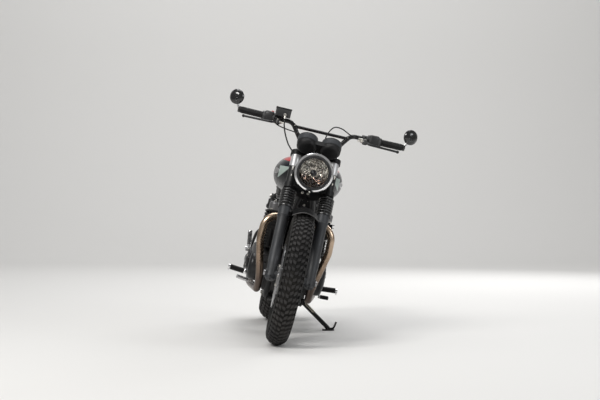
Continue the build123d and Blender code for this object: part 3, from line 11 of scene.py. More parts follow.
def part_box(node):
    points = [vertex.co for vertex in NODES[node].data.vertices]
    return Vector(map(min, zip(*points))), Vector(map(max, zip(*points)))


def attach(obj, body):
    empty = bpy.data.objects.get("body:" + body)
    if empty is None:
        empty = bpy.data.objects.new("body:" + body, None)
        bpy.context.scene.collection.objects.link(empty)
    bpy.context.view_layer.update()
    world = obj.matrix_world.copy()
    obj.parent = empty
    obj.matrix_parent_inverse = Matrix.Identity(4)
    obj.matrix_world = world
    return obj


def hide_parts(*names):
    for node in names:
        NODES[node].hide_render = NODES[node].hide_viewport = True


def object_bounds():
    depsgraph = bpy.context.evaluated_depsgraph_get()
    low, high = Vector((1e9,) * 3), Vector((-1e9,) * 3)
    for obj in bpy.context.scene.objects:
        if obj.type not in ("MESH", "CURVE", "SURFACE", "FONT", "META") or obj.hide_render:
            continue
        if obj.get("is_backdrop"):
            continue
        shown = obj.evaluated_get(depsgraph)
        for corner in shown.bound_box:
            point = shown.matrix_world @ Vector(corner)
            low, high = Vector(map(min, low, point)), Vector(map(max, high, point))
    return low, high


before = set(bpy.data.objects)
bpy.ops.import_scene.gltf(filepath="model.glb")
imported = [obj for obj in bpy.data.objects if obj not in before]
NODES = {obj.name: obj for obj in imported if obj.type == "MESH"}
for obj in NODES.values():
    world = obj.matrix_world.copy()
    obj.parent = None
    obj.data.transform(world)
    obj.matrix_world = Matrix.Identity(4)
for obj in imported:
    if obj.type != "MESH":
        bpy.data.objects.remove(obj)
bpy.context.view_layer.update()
random.seed(7)

MM = 0.001
SIDES = (-1, 1)
UP = (0, 0, 1)
AHEAD = (0, -1, 0)

# The upright machine's frame, in metres: +X its left, +Y backwards from the front axle, +Z up.
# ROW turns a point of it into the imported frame, where the machine leans on its stand.
LEAN = radians(13.2)
FRONT_RADIUS, FRONT_CROWN, FRONT_BEAD = 0.325, 0.058, 0.232
REAR_RADIUS, REAR_CROWN, REAR_BEAD = 0.321, 0.082, 0.219
FRONT_AXLE = Vector((0, 0, FRONT_RADIUS - FRONT_CROWN + FRONT_CROWN / cos(LEAN)))
REAR_AXLE = Vector((0, 1.45, REAR_RADIUS - REAR_CROWN + REAR_CROWN / cos(LEAN)))
TILT = Matrix.Rotation(LEAN, 4, "Y")
axle_low, axle_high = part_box("front_axle")
SHIFT = (axle_low + axle_high) / 2 - TILT @ FRONT_AXLE
ROW = Matrix.Translation((SHIFT.x, SHIFT.y, 0)) @ TILT
UPRIGHT = ROW.inverted()

# The fork's own frame: X across, Y backwards, Z up along the steering axis.
RAKE = radians(25.5)
OFFSET = 0.104
FORK = Matrix(((1, 0, 0, 0), (0, cos(RAKE), sin(RAKE), -OFFSET), (0, -sin(RAKE), cos(RAKE), 0), (0, 0, 0, 1)))
FORK_UP = FORK.to_3x3() @ Vector(UP)
FORK_AHEAD = FORK.to_3x3() @ Vector(AHEAD)
FORK_BACK = OFFSET * cos(RAKE) - FRONT_AXLE.z * sin(RAKE)
AXLE_S = OFFSET * sin(RAKE) + FRONT_AXLE.z * cos(RAKE)
STANCHION_X = 0.095
RAIL_Z = REAR_AXLE.z + 0.366 + 0.0108


# Mesh helpers

class Shape:
    """Collects vertices and faces in the upright frame, then becomes one piece."""

    def __init__(self):
        self.verts, self.faces, self.slots = [], [], []

    def add(self, verts, faces, place=None, slot=0):
        start = len(self.verts)
        self.verts += [Vector(vert) if place is None else place @ Vector(vert) for vert in verts]
        self.faces += [[start + index for index in face] for face in faces]
        self.slots += [slot] * len(faces)

    def bolt(self, radius, spot, axis, slot=0):
        self.add(*cap_bolt(radius), aim(spot, axis), slot)

    def nut(self, radius, spot, axis, slot=0):
        self.add(*hex_nut(radius), aim(spot, axis), slot)

    def turned(self, profile, count, place=None, slot=0, closed=False):
        """Lathed part from a profile in millimetres."""
        self.add(*lathe([(radius * MM, height * MM) for radius, height in profile], count, closed), place, slot)

    def box(self, size, bevel, segments, place, slot=0):
        self.add(*rounded_box(size, bevel, segments), place, slot)

    def piece(self, name, materials, body, slot, angle=35, replaces=()):
        mesh = bpy.data.meshes.new(name)
        mesh.from_pydata([ROW @ vert for vert in self.verts], [], self.faces)
        mesh.update()
        for polygon, index in zip(mesh.polygons, self.slots):
            polygon.material_index = index
        mesh.shade_smooth()
        mesh.set_sharp_from_angle(angle=radians(angle))
        obj = bpy.data.objects.new(name, mesh)
        bpy.context.scene.collection.objects.link(obj)
        for finish in materials if isinstance(materials, list) else [materials]:
            mesh.materials.append(finish)
        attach(obj, body)
        if replaces:
            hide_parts(*replaces)


def at(*spot):
    """Translation to a vector, or to x, y, z."""
    return Matrix.Translation(spot if len(spot) == 3 else spot[0])


def aim(origin, axis, side=(1, 0, 0)):
    """Matrix that puts local Z along an axis and local X near a side direction."""
    z = Vector(axis).normalized()
    x = Vector(side) - z * Vector(side).dot(z)
    if x.length < 1e-4:
        x = z.orthogonal()
    x.normalize()
    return Matrix.Translation(Vector(origin)) @ Matrix((x, z.cross(x), z)).transposed().to_4x4()


def wheel_spot(axle, x, radius, turn):
    """Point at a radius from an axle, turned backwards from the top."""
    return axle + Vector((x, radius * sin(turn), radius * cos(turn)))


def fork_spot(x, back, s):
    return FORK @ Vector((x, back, s))


def circle(radius, count, phase=0.0):
    turns = [2 * pi * k / count + phase for k in range(count)]
    return [(radius * cos(turn), radius * sin(turn)) for turn in turns]


def quads(rows, count, closed=False):
    """Faces between rings of points; closed joins the last ring to the first."""
    pairs = [(row, (row + 1) % rows) for row in range(rows if closed else rows - 1)]
    return [(i * count + k, i * count + (k + 1) % count, j * count + (k + 1) % count, j * count + k)
            for i, j in pairs for k in range(count)]


def lathe(profile, count=48, closed=False):
    """(radius, height) points turned about Z; points on the axis close it."""
    verts, rings = [], []
    for radius, height in profile:
        ring = [(0, 0, height)] if radius < 1e-6 else [(x, y, height) for x, y in circle(radius, count)]
        rings.append(range(len(verts), len(verts) + len(ring)))
        verts += ring
    faces = []
    for low, high in list(zip(rings, rings[1:])) + ([(rings[-1], rings[0])] if closed else []):
        for k in range(count):
            nxt = (k + 1) % count
            if len(low) > 1 and len(high) > 1:
                faces.append((low[k], low[nxt], high[nxt], high[k]))
            elif len(high) > 1:
                faces.append((low[0], high[nxt], high[k]))
            elif len(low) > 1:
                faces.append((low[k], low[nxt], high[0]))
    return verts, faces


def smooth_path(points, steps=6):
    """Catmull-Rom points through a short list."""
    points = [Vector(point) for point in points]
    padded = [points[0] * 2 - points[1]] + points + [points[-1] * 2 - points[-2]]
    path = []
    for a, b, c, d in zip(padded, padded[1:], padded[2:], padded[3:]):
        for step in range(steps):
            t = step / steps
            path.append(0.5 * ((2 * b) + (c - a) * t + (2 * a - 5 * b + 4 * c - d) * t * t
                               + (3 * b - a - 3 * c + d) * t * t * t))
    path.append(points[-1])
    return path


def tube(path, radius, count=12, closed=False, flat=1.0):
    """Round bar along a list of points; the radius may be a list, flat squeezes its second axis."""
    path = [Vector(point) for point in path]
    last = len(path) - 1
    normal = None
    verts = []
    for index, point in enumerate(path):
        if closed:
            tangent = path[(index + 1) % len(path)] - path[index - 1]
        else:
            tangent = path[min(index + 1, last)] - path[max(index - 1, 0)]
        tangent.normalize()
        if normal is None:
            normal = tangent.orthogonal().normalized()
        normal = (normal - tangent * normal.dot(tangent)).normalized()
        across = tangent.cross(normal) * flat
        size = radius[index] if isinstance(radius, list) else radius
        verts += [point + normal * x + across * y for x, y in circle(size, count)]
    faces = quads(len(path), count, closed)
    if not closed:
        faces += [tuple(range(count))[::-1], tuple(range(last * count, last * count + count))]
    return verts, faces


def prism(outline, depth, bevel=0.0):
    """A flat outline in X and Y raised along Z, with an optional chamfer at its top edge."""
    count = len(outline)
    centre = Vector((sum(x for x, y in outline) / count, sum(y for x, y in outline) / count))
    levels = [(0.0, 0.0), (depth - bevel, 0.0), (depth, bevel)] if bevel else [(0.0, 0.0), (depth, 0.0)]
    verts = []
    for height, inset in levels:
        for point in outline:
            away = Vector(point) - centre
            scale = 1 - inset / max(away.length, inset * 1.5 + 1e-6)
            verts.append((centre.x + away.x * scale, centre.y + away.y * scale, height))
    top = (len(levels) - 1) * count
    return verts, [tuple(range(count))[::-1], tuple(range(top, top + count))] + quads(len(levels), count)


def rounded_box(size, bevel, segments=2):
    """Box with rounded edges, centred."""
    box = bmesh.new()
    bmesh.ops.create_cube(box, size=1.0)
    for vert in box.verts:
        vert.co = Vector((vert.co.x * size[0], vert.co.y * size[1], vert.co.z * size[2]))
    bmesh.ops.bevel(box, geom=box.edges[:], offset=bevel, segments=segments, profile=0.5, affect="EDGES")
    verts = [vert.co.copy() for vert in box.verts]
    faces = [[vert.index for vert in face.verts] for face in box.faces]
    box.free()
    return verts, faces


def cap_bolt(radius):
    """Socket-head bolt, its head standing on Z = 0."""
    shares = ((1, 0), (1, 0.9), (0.85, 1.05), (0.5, 1.05), (0.5, 0.5), (0, 0.5))
    return lathe([(radius * r, radius * z) for r, z in shares], 12)


def hex_nut(radius):
    """Hexagon head on a washer."""
    verts, faces = prism(circle(radius, 6), radius * 0.75, radius * 0.12)
    washer, rim = lathe([(radius * 1.25, -0.0006), (radius * 1.25, 0.0008), (0, 0.0008)], 16)
    return verts + washer, faces + [tuple(len(verts) + index for index in face) for face in rim]


def guard_edge(shape, axle, half, inner, sag, degrees):
    """Rolled edge across a mudguard's end."""
    spots = [-1 + k / 12 for k in range(25)]
    path = [wheel_spot(axle, half * a, inner + 0.0012 - sag * a * a, radians(degrees)) for a in spots]
    shape.add(*tube(path, 0.0021, 8))


# Materials

DEFAULT_VARIATION = (9.0, 0.12)
PLAIN_SPECULAR, METAL_SPECULAR = 0.26, 0.5


def material(name, color, rough, metal=0.0, grain=None, vary=DEFAULT_VARIATION, coat=0.0, dust=None, wear=None,
             rough_span=0.08, zones=(), **sockets):
    """Principled paint, metal or rubber with noise in its colour, roughness and bump.

    grain: (scale, strength), vary: (scale, share), dust: (color, scale, share), wear: (color, share) on edges,
    zones: (color, rough, metal, [(direction, start, end), ...]) in upright |x|, y, z in metres, each
    painted over the ones before."""
    mat = bpy.data.materials.new(name)
    mat.use_nodes = True
    nodes, links = mat.node_tree.nodes, mat.node_tree.links
    bsdf = nodes["Principled BSDF"]
    bsdf.inputs["Base Color"].default_value = (*color, 1)
    bsdf.inputs["Metallic"].default_value = metal
    bsdf.inputs["Coat Weight"].default_value = coat
    bsdf.inputs["Coat Roughness"].default_value = 0.06
    bsdf.inputs["Specular IOR Level"].default_value = METAL_SPECULAR if metal else PLAIN_SPECULAR
    for socket, value in sockets.items():
        bsdf.inputs[socket.replace("_", " ")].default_value = value

    def node_of(kind, inputs, output=0, **settings):
        """New node with its settings, and with each input linked or set."""
        node = nodes.new("ShaderNode" + kind)
        for key, value in settings.items():
            setattr(node, key, value)
        for key, value in inputs.items():
            if isinstance(value, bpy.types.NodeSocket):
                links.new(value, node.inputs[key])
            else:
                node.inputs[key].default_value = value
        return node.outputs[output]

    spot = node_of("TexCoord", {}, "Object")

    def noise(scale, detail=4.0):
        return node_of("TexNoise", {"Scale": scale, "Detail": detail, "Vector": spot}, "Fac")

    def span(value, low, high, start=0.3, end=0.7):
        return node_of("MapRange", {"From Min": start, "From Max": end, "To Min": low, "To Max": high,
                                    "Value": value}, "Result")

    def mix(factor, first, second):
        first, second = (c if isinstance(c, bpy.types.NodeSocket) else (*c, 1) for c in (first, second))
        return node_of("Mix", {0: factor, 6: first, 7: second}, 2, data_type="RGBA")

    def blend(factor, first, second):
        return node_of("Mix", {0: factor, 2: first, 3: second})

    def dot(vector, direction):
        return node_of("VectorMath", {0: vector, 1: direction}, "Value", operation="DOT_PRODUCT")

    scale, share = vary
    tone = mix(span(noise(scale), 0.0, 1.0), [c * (1 - share) for c in color], [c * (1 + share) for c in color])
    if dust:
        dust_color, dust_scale, amount = dust
        tone = mix(span(noise(dust_scale, 8.0), 0.0, amount, 0.42, 0.68), tone, dust_color)
    if wear:
        wear_color, amount = wear
        edge = node_of("NewGeometry", {}, "Pointiness")
        tone = mix(span(edge, 0.0, amount, 0.52, 0.6), tone, wear_color)
    gloss = span(noise(scale * 2.3), max(rough - rough_span, 0.02), min(rough + rough_span, 1.0))
    if zones:
        axes = []
        for direction in ((1, 0, 0), (0, 1, 0), UP):
            turned = TILT @ Vector(direction)
            start = turned.dot(Vector((SHIFT.x, SHIFT.y, 0)))
            axes.append(node_of("Math", {0: dot(spot, turned), 1: start}, operation="SUBTRACT"))
        side = node_of("Math", {0: axes[0]}, operation="ABSOLUTE")
        place = node_of("CombineXYZ", {0: side, 1: axes[1], 2: axes[2]})
        metal_value = None
        for zone_color, zone_rough, zone_metal, limits in zones:
            mask = None
            for direction, start, end in limits:
                limit = span(dot(place, direction), 0.0, 1.0, start, end)
                mask = limit if mask is None else node_of("Math", {0: mask, 1: limit}, operation="MULTIPLY")
            tone = mix(mask, tone, zone_color)
            gloss = blend(mask, gloss, zone_rough)
            if zone_metal != metal:
                metal_value = blend(mask, metal if metal_value is None else metal_value, zone_metal)
        if metal_value is not None:
            links.new(metal_value, bsdf.inputs["Metallic"])
    links.new(tone, bsdf.inputs["Base Color"])
    links.new(gloss, bsdf.inputs["Roughness"])
    if grain:
        bump = node_of("Bump", {"Strength": grain[1], "Distance": 0.001, "Height": noise(grain[0], 3.0)},
                       "Normal")
        links.new(bump, bsdf.inputs["Normal"])
    return mat


DUST = (0.1, 0.085, 0.07)
BLACK_PAINT = material("black_paint", (0.008, 0.008, 0.009), 0.3, coat=0.25, vary=(6, 0.2), grain=(260, 0.05))
GUARD_BLACK = material("guard_black", (0.005, 0.005, 0.0053), 0.6, vary=(9, 0.25), grain=(600, 0.2),
                       Specular_IOR_Level=0.02)
GAITER_RUBBER = material("gaiter_rubber", (0.014, 0.014, 0.0145), 0.3, coat=0.4, vary=(18, 0.2),
                         grain=(700, 0.1), Specular_IOR_Level=0.5)
SHELL_GLOSS = material("shell_gloss", (0.006, 0.006, 0.0065), 0.16, coat=0.6, vary=(14, 0.2), rough_span=0.04,
                       Specular_IOR_Level=0.5)
# Lighter grey for the front mudguard's rolled lip: a painted highlight line along the black guard's edge.
LIP_HIGHLIGHT = material("lip_painted_highlight", (0.06, 0.058, 0.057), 0.5, metal=0.1, vary=(30, 0.2), grain=(500, 0.15))
FRAME_BLACK = material("frame_black", (0.008, 0.008, 0.0085), 0.36, vary=(14, 0.25), grain=(700, 0.16),
                       coat=0.15)
BAR_BLACK = material("bar_black", (0.008, 0.008, 0.0085), 0.27, vary=(20, 0.25), grain=(900, 0.1), coat=0.3)
CAST_BLACK = material("cast_black", (0.011, 0.011, 0.0115), 0.5, vary=(18, 0.3), grain=(520, 0.5),
                      dust=(DUST, 7.0, 0.08), wear=((0.14, 0.14, 0.14), 0.35))
COVER_BLACK = material("cover_black", (0.011, 0.011, 0.012), 0.36, vary=(10, 0.25), grain=(420, 0.18),
                       coat=0.15, wear=((0.16, 0.16, 0.16), 0.3))
GRAPHITE = material("graphite_alloy", (0.15, 0.15, 0.155), 0.4, metal=0.6, vary=(12, 0.2), grain=(500, 0.2),
                    dust=(DUST, 14.0, 0.1))
DARK_ALLOY = material("dark_alloy", (0.04, 0.04, 0.043), 0.36, metal=0.7, vary=(22, 0.2), grain=(600, 0.18))
ALLOY = material("alloy", (0.7, 0.7, 0.71), 0.28, metal=1.0, vary=(30, 0.12), grain=(500, 0.1))
CHROME = material("chrome", (0.88, 0.88, 0.89), 0.09, metal=1.0, vary=(12, 0.05), rough_span=0.03)
STEEL = material("steel", (0.42, 0.42, 0.43), 0.33, metal=1.0, vary=(26, 0.2), grain=(300, 0.12))
ZINC = material("zinc_bolts", (0.6, 0.58, 0.54), 0.32, metal=1.0, vary=(90, 0.3))
BLACK_BOLT = material("black_bolts", (0.022, 0.022, 0.023), 0.42, metal=0.6, vary=(90, 0.3))
CHAIN_STEEL = material("chain_steel", (0.17, 0.155, 0.13), 0.4, metal=1.0, vary=(120, 0.4),
                       dust=((0.05, 0.04, 0.03), 60, 0.6))
SLIDER_GREY = material("slider_grey", (0.034, 0.037, 0.042), 0.5, metal=0.15, vary=(8, 0.15), grain=(800, 0.14),
                       dust=(DUST, 9.0, 0.1))
RUBBER = material("rubber", (0.008, 0.008, 0.0085), 0.48, vary=(26, 0.25), grain=(900, 0.25),
                  dust=(DUST, 12.0, 0.06))
GROOVE_RUBBER = material("groove_rubber", (0.007, 0.007, 0.007), 0.8, vary=(30, 0.3), grain=(380, 0.4),
                         dust=((0.07, 0.06, 0.05), 6.0, 0.25))
TYRE_RUBBER = material("tyre_rubber", (0.026, 0.025, 0.025), 0.7, vary=(30, 0.3), grain=(380, 0.5),
                       dust=((0.09, 0.084, 0.078), 5.5, 0.4))
PLASTIC = material("black_plastic", (0.011, 0.011, 0.0115), 0.44, vary=(30, 0.2), grain=(1400, 0.3))
SATIN_GREY = material("satin_grey", (0.045, 0.048, 0.053), 0.45, vary=(20, 0.15), grain=(1200, 0.15))
SILENCER_BLACK = material("silencer_black", (0.011, 0.011, 0.0115), 0.4, vary=(7, 0.3), grain=(600, 0.12))
RIM_BLACK = material("rim_black", (0.01, 0.01, 0.0105), 0.3, vary=(16, 0.25), grain=(500, 0.08),
                     dust=(DUST, 10.0, 0.12), coat=0.2)
CABLE = material("cable_sheath", (0.009, 0.009, 0.009), 0.42, vary=(60, 0.3), grain=(1500, 0.2))
RED_PLASTIC = material("red_button", (0.6, 0.02, 0.015), 0.3, vary=(50, 0.1))
FORK_CHROME = material("fork_chrome", (0.9, 0.9, 0.91), 0.3, metal=0.85, vary=(12, 0.06), rough_span=0.03,
                       zones=[((0.012, 0.012, 0.013), 0.4, 0.2, [((0, 0, -1), -0.862, -0.857)])])
# Heat-tinted bronze headers; the lighter zone at the top is a painted highlight and the darker zone low down is
# painted shade.
HEADER_BRONZE = material("header_bronze", (0.33, 0.245, 0.18), 0.27, metal=1.0, vary=(14, 0.16),
                         grain=(240, 0.12), dust=((0.07, 0.055, 0.045), 16.0, 0.25),
                         zones=[((0.6, 0.46, 0.34), 0.26, 1.0, [((0, 0, 1), 0.42, 0.56)]),
                                ((0.13, 0.1, 0.085), 0.34, 1.0, [((0, 0, -1), -0.4, -0.26)])])
TANK_PAINT = material("tank_paint", (0.015, 0.016, 0.018), 0.3, coat=0.12, Specular_IOR_Level=0.16,
                      vary=(5, 0.15), grain=(240, 0.04),
                      zones=[((0.006, 0.0075, 0.013), 0.2, 0.0, [((0, -0.06, 1), 0.8215, 0.8235)]),
                             ((0.42, 0.006, 0.012), 0.24, 0.0,
                              [((0, -0.06, 1), 0.8545, 0.856), ((1, 0, 0), 0.058, 0.06)]),
                             ((0.36, 0.43, 0.4), 0.34, 0.1,
                              [((0.785, 0, 0.62), 0.6138, 0.6148), ((0, 0, -1), -0.8552, -0.8543),
                               ((-1, 0, 0), -0.1588, -0.1578), ((0, -1, 0), -0.545, -0.543)])])
MIRROR_GLASS = material("mirror_glass", (0.9, 0.91, 0.92), 0.03, metal=1.0, vary=(8, 0.02), rough_span=0.01)
# Headlamp reflector; the darker zone over its lower half is a painted reflection and painted shade of the dark
# parts below it.
REFLECTOR = material("reflector", (0.95, 0.88, 0.78), 0.2, metal=0.75, vary=(40, 0.25), rough_span=0.05,
                     zones=[((0.22, 0.15, 0.12), 0.2, 1.0, [((0, 0, -1), -0.845, -0.815)])])
GLASS = material("lamp_glass", (0.97, 0.98, 0.98), 0.03, vary=(20, 0.02), rough_span=0.01,
                 Transmission_Weight=1.0, IOR=1.2)
RED_LENS = material("red_lens", (0.5, 0.012, 0.01), 0.12, vary=(30, 0.1), coat=0.4, Transmission_Weight=0.35)
DIAL_BLACK = material("dial_black", (0.01, 0.01, 0.011), 0.5, vary=(60, 0.2))
WHITE_MARK = material("dial_white", (0.75, 0.75, 0.72), 0.5, vary=(40, 0.08))
SEAT_VINYL = material("seat_vinyl", (0.009, 0.0085, 0.0085), 0.5, vary=(22, 0.25), grain=(420, 0.55),
                      dust=(DUST, 9.0, 0.05))
PIPING = material("seat_piping", (0.45, 0.44, 0.42), 0.45, vary=(60, 0.15), grain=(800, 0.3))
SPRING_BLACK = material("spring_black", (0.01, 0.01, 0.0105), 0.3, vary=(30, 0.2), coat=0.3)
PEG_CHROME = material("peg_chrome", (0.82, 0.82, 0.83), 0.16, metal=1.0, vary=(12, 0.08), rough_span=0.05,
                      zones=[((0.01, 0.01, 0.0105), 0.4, 0.0, [((-1, 0, 0), -0.206, -0.204)])])
SPRING_PALE = material("spring_pale", (0.5, 0.47, 0.4), 0.38, metal=0.8, vary=(60, 0.2))


# Finishes of the CAD nodes; those that a piece replaces get one too.
FINISH = {
    FRAME_BLACK: "frame swingarm shocks chain_guard yokes side_stand",
    CAST_BLACK: "crankcase cylinder_block cylinder_head",
    COVER_BLACK: "engine_covers rear_caliper front_caliper hand_controls",
    GRAPHITE: "cam_cover", DARK_ALLOY: "throttle_bodies", HEADER_BRONZE: "exhaust_headers",
    SILENCER_BLACK: "silencers", TANK_PAINT: "fuel_tank", RED_PLASTIC: "tail_lamp", PEG_CHROME: "footrests",
    PLASTIC: "radiator seat instruments", CHROME: "filler_cap fork_tubes headlamp_rim headlamp_lens",
    BLACK_PAINT: "side_panels rear_mudguard headlamp_shell",
    STEEL: "foot_controls rear_axle front_axle front_disc rear_disc",
    CHAIN_STEEL: "chain front_sprocket rear_sprocket", SLIDER_GREY: "fork_sliders",
    GAITER_RUBBER: "fork_gaiters", GUARD_BLACK: "front_mudguard", FORK_CHROME: "lamp_ears",
    BAR_BLACK: "handlebar", RUBBER: "grips", CABLE: "control_cables", SHELL_GLOSS: "mirrors",
    TYRE_RUBBER: "front_tyre rear_tyre", RIM_BLACK: "front_wheel rear_wheel",
}
for finish, names in FINISH.items():
    for node in names.split():
        NODES[node].data.materials.clear()
        NODES[node].data.materials.append(finish)


# Wheels and tyres

CARCASS_POINTS = 128
BLOCK_HEIGHTS = (0.0068, 0.0066, 0.0062)
DRAFT = 0.0009


def tyre(radius, width, crown, bead_radius, bead_half, axle, pitches, blocks):
    """Carcass with side-wall ribs, and tread blocks standing on it.

    blocks: for the centre, between and the shoulder, corners (u across in metres, share of a pitch).
    Each has its mirror image half a pitch later."""
    shape = Shape()
    shoulder_half = width / 2 * 0.93
    low = crown - BLOCK_HEIGHTS[0]
    limit = asin(min(shoulder_half / crown, 0.99))
    centre = radius - crown
    shoulder = centre + sqrt(crown ** 2 - shoulder_half ** 2)
    wall = (shoulder + bead_radius) / 2
    steps = 16
    turns = [-limit + 2 * limit * k / steps for k in range(steps + 1)]
    side = [(shoulder_half * 0.985, shoulder - 0.001), (width / 2 * 0.985, shoulder * 0.6 + wall * 0.4),
            (width / 2, wall + 0.006), (width / 2 + 0.0002, wall + 0.001), (width / 2 * 0.985, wall - 0.002),
            (width / 2 * 0.95, wall * 0.62 + bead_radius * 0.38), (bead_half + 0.008, bead_radius + 0.011),
            (bead_half + 0.005, bead_radius + 0.0065), (bead_half + 0.0002, bead_radius + 0.006),
            (bead_half, bead_radius), (bead_half - 0.006, bead_radius - 0.004)]
    profile = [(low * sin(a), centre + low * cos(a)) for a in turns] + side + [(-x, r) for x,
                                                                               r in reversed(side)]
    verts = [wheel_spot(axle, x, r, 2 * pi * k / CARCASS_POINTS) for x, r in profile
             for k in range(CARCASS_POINTS)]
    shape.add(verts, [face[::-1] for face in quads(len(profile), CARCASS_POINTS, True)], None, 1)

    def point(u, theta, height):
        a = u / crown
        return wheel_spot(axle, (low + height) * sin(a), centre + (low + height) * cos(a), theta)

    pitch = 2 * pi / pitches
    rows = []
    for corners, height in zip(blocks, BLOCK_HEIGHTS):
        rows += [(corners, height), ([(-u, t + 0.5) for u, t in reversed(corners)], height)]
    for index in range(pitches):
        for corners, height in rows:
            n = len(corners)
            mean_u, mean_t = (sum(values) / n for values in zip(*corners))
            base = []
            for level, inset in ((-0.002, 0), (height * 0.82, DRAFT * 0.6), (height, DRAFT * 1.6)):
                for u, t in corners:
                    away_u, away_t = u - mean_u, (t - mean_t) * pitch * radius
                    k = max(1 - inset / hypot(away_u, away_t), 0.2)
                    base.append(point(mean_u + away_u * k, (index + mean_t) * pitch + away_t * k / radius,
                                      level))
            shape.add(base, quads(3, n) + [tuple(range(2 * n, 3 * n))])
    return shape


TREAD = [TYRE_RUBBER, GROOVE_RUBBER]
front_tread = tyre(FRONT_RADIUS, 0.108, FRONT_CROWN, FRONT_BEAD, 0.036, FRONT_AXLE, 64, [
    [(0.0012, 0.02), (0.0105, 0.1), (0.0185, 0.3), (0.0185, 0.74), (0.0095, 0.58), (0.0012, 0.5)],
    [(0.0215, 0), (0.0305, 0.12), (0.0385, 0.32), (0.0385, 0.78), (0.029, 0.62), (0.0215, 0.54)],
    [(0.0415, 0.02), (0.0525, 0.06), (0.0595, 0.12), (0.0595, 0.56), (0.052, 0.6), (0.0415, 0.56)]])
front_tread.piece("front_tyre_tread", TREAD, "front_wheel", "tyre", replaces=["front_tyre"])
rear_tread = tyre(REAR_RADIUS, 0.150, REAR_CROWN, REAR_BEAD, 0.056, REAR_AXLE, 60, [
    [(0.0015, 0.02), (0.013, 0.12), (0.0245, 0.34), (0.0245, 0.78), (0.0125, 0.6), (0.0015, 0.5)],
    [(0.0285, 0), (0.04, 0.14), (0.0505, 0.34), (0.0505, 0.8), (0.0385, 0.64), (0.0285, 0.56)],
    [(0.0545, 0.02), (0.0685, 0.07), (0.0785, 0.14), (0.0785, 0.58), (0.068, 0.62), (0.0545, 0.57)]])
rear_tread.piece("rear_tyre_tread", TREAD, "rear_wheel", "tyre", replaces=["rear_tyre"])

SPOKES = 32
SPOKE_LEAD = radians(58)
CARRIER_RADIUS = 0.052
DISC_BOLTS = 6
VALVE_TURN = radians(200)


def wheel_trim(name, body, axle, bead_radius, flange_radius, flange_half, disc_x):
    """Spoke nipples at the rim and heads at the hub, disc bolts and the valve."""
    shape = Shape()
    seat = bead_radius - 0.0044
    for index in range(SPOKES):
        side = 1 if index % 2 else -1
        outer = 2 * pi * index / SPOKES
        inner = outer + (SPOKE_LEAD if index // 2 % 2 else -SPOKE_LEAD)
        hub_end = wheel_spot(axle, side * flange_half, flange_radius - 0.006, pi / 2 - inner)
        rim_end = wheel_spot(axle, side * 0.008, seat - 0.008, pi / 2 - outer)
        run = (hub_end - rim_end).normalized()
        nipple = [(0.0038, -0.002), (0.0038, 0.006), (0.003, 0.0105), (0.0024, 0.0165), (0, 0.0165)]
        shape.add(*lathe(nipple, 8), aim(rim_end + run * 0.007, run))
        head = [(0.0046, -0.001), (0.004, 0.0022), (0.002, 0.003), (0, 0.003)]
        shape.add(*lathe(head, 8), aim(hub_end + Vector((side * 0.0035, 0, 0)), (side, 0, 0)))
    side = copysign(1, disc_x)
    for index in range(DISC_BOLTS):
        turn = 2 * pi * (index + 0.5) / DISC_BOLTS
        shape.bolt(0.0062, wheel_spot(axle, disc_x + side * 0.0026, CARRIER_RADIUS, turn), (side, 0, 0))
    spot = wheel_spot(axle, 0, seat - 0.012, VALVE_TURN)
    valve = [(0.0045, -0.004), (0.0045, 0.004), (0.0036, 0.006), (0.0036, 0.022), (0.0042, 0.023),
             (0.0042, 0.031), (0.003, 0.033), (0, 0.033)]
    shape.add(*lathe(valve, 10), aim(spot, axle - spot))
    shape.piece(name, ZINC, body, "steel")


wheel_trim("front_wheel_trim", "front_wheel", FRONT_AXLE, FRONT_BEAD, 0.048, 0.032, -0.056)
wheel_trim("rear_wheel_trim", "rear_wheel", REAR_AXLE, REAR_BEAD, 0.062, 0.040, -0.088)


# Headlamp

LAMP = Vector((0, 0.08, 0.843))
FRONTWARD = aim(LAMP, AHEAD)

lamp_ring = Shape()
lamp_ring.turned([(81.5, -12), (81.5, -4.2), (79.5, -2.8), (73.5, -3.4), (70.5, -7.5), (69.5, -16), (70.5, -19),
                  (76, -19)], 72, FRONTWARD, closed=True)
for x, y in circle(0.0762, 3, pi / 2):
    lamp_ring.add(*cap_bolt(0.0026), FRONTWARD @ at(x, y, -0.0032))
lamp_ring.piece("headlamp_inner_ring", COVER_BLACK, "steer", "black_plastic")

bowl = Shape()
BOWL_ROWS, FACETS = 9, 44
verts = []
for row in range(BOWL_ROWS + 1):
    share = row / BOWL_ROWS
    depth = -0.052 + 0.036 * share ** 1.8
    for x, y in circle(0.014 + 0.057 * share, FACETS, pi * (row % 2) / FACETS):
        verts.append((x, y, depth + random.uniform(-0.0009, 0.0009)))
faces = []
for a, b, c, d in quads(BOWL_ROWS + 1, FACETS):
    faces += [(a, b, c), (a, c, d)]
bowl.add(verts, faces, FRONTWARD)
bowl.piece("headlamp_reflector", REFLECTOR, "steer", "chrome", 4)

bulb = Shape()
bulb.turned([(16, -56), (16, -48), (11, -46), (11, -30), (13.5, -29), (13.5, -22), (8, -18), (0, -17)], 28,
            FRONTWARD)
for turns, ends, radius, count in (((35, 145, 270), ((0.012, -0.026), (0.068, -0.014)), 0.0013, 8),
                                   (range(0, 360, 30), ((0.02, -0.044), (0.066, -0.0185)), 0.0006, 5)):
    for degrees in turns:
        a = radians(degrees)
        bulb.add(*tube([(r * cos(a), r * sin(a), z) for r, z in ends], radius, count), FRONTWARD)
bulb.piece("headlamp_bulb_shield", DARK_ALLOY, "steer", "chrome")

glass = Shape()
outer = [(0.081 * (1 - k / 12), 0.0038 - 0.0085 * (1 - k / 12) ** 2) for k in range(13)]
inner = [(0.081 * k / 6, 0.0016 - 0.0085 * (k / 6) ** 2) for k in range(7)]
glass.add(*lathe([(0.0815, -0.006)] + outer + inner, 64), FRONTWARD)
glass.piece("headlamp_glass", GLASS, "steer", "lamp_glass", 60, ["headlamp_lens"])

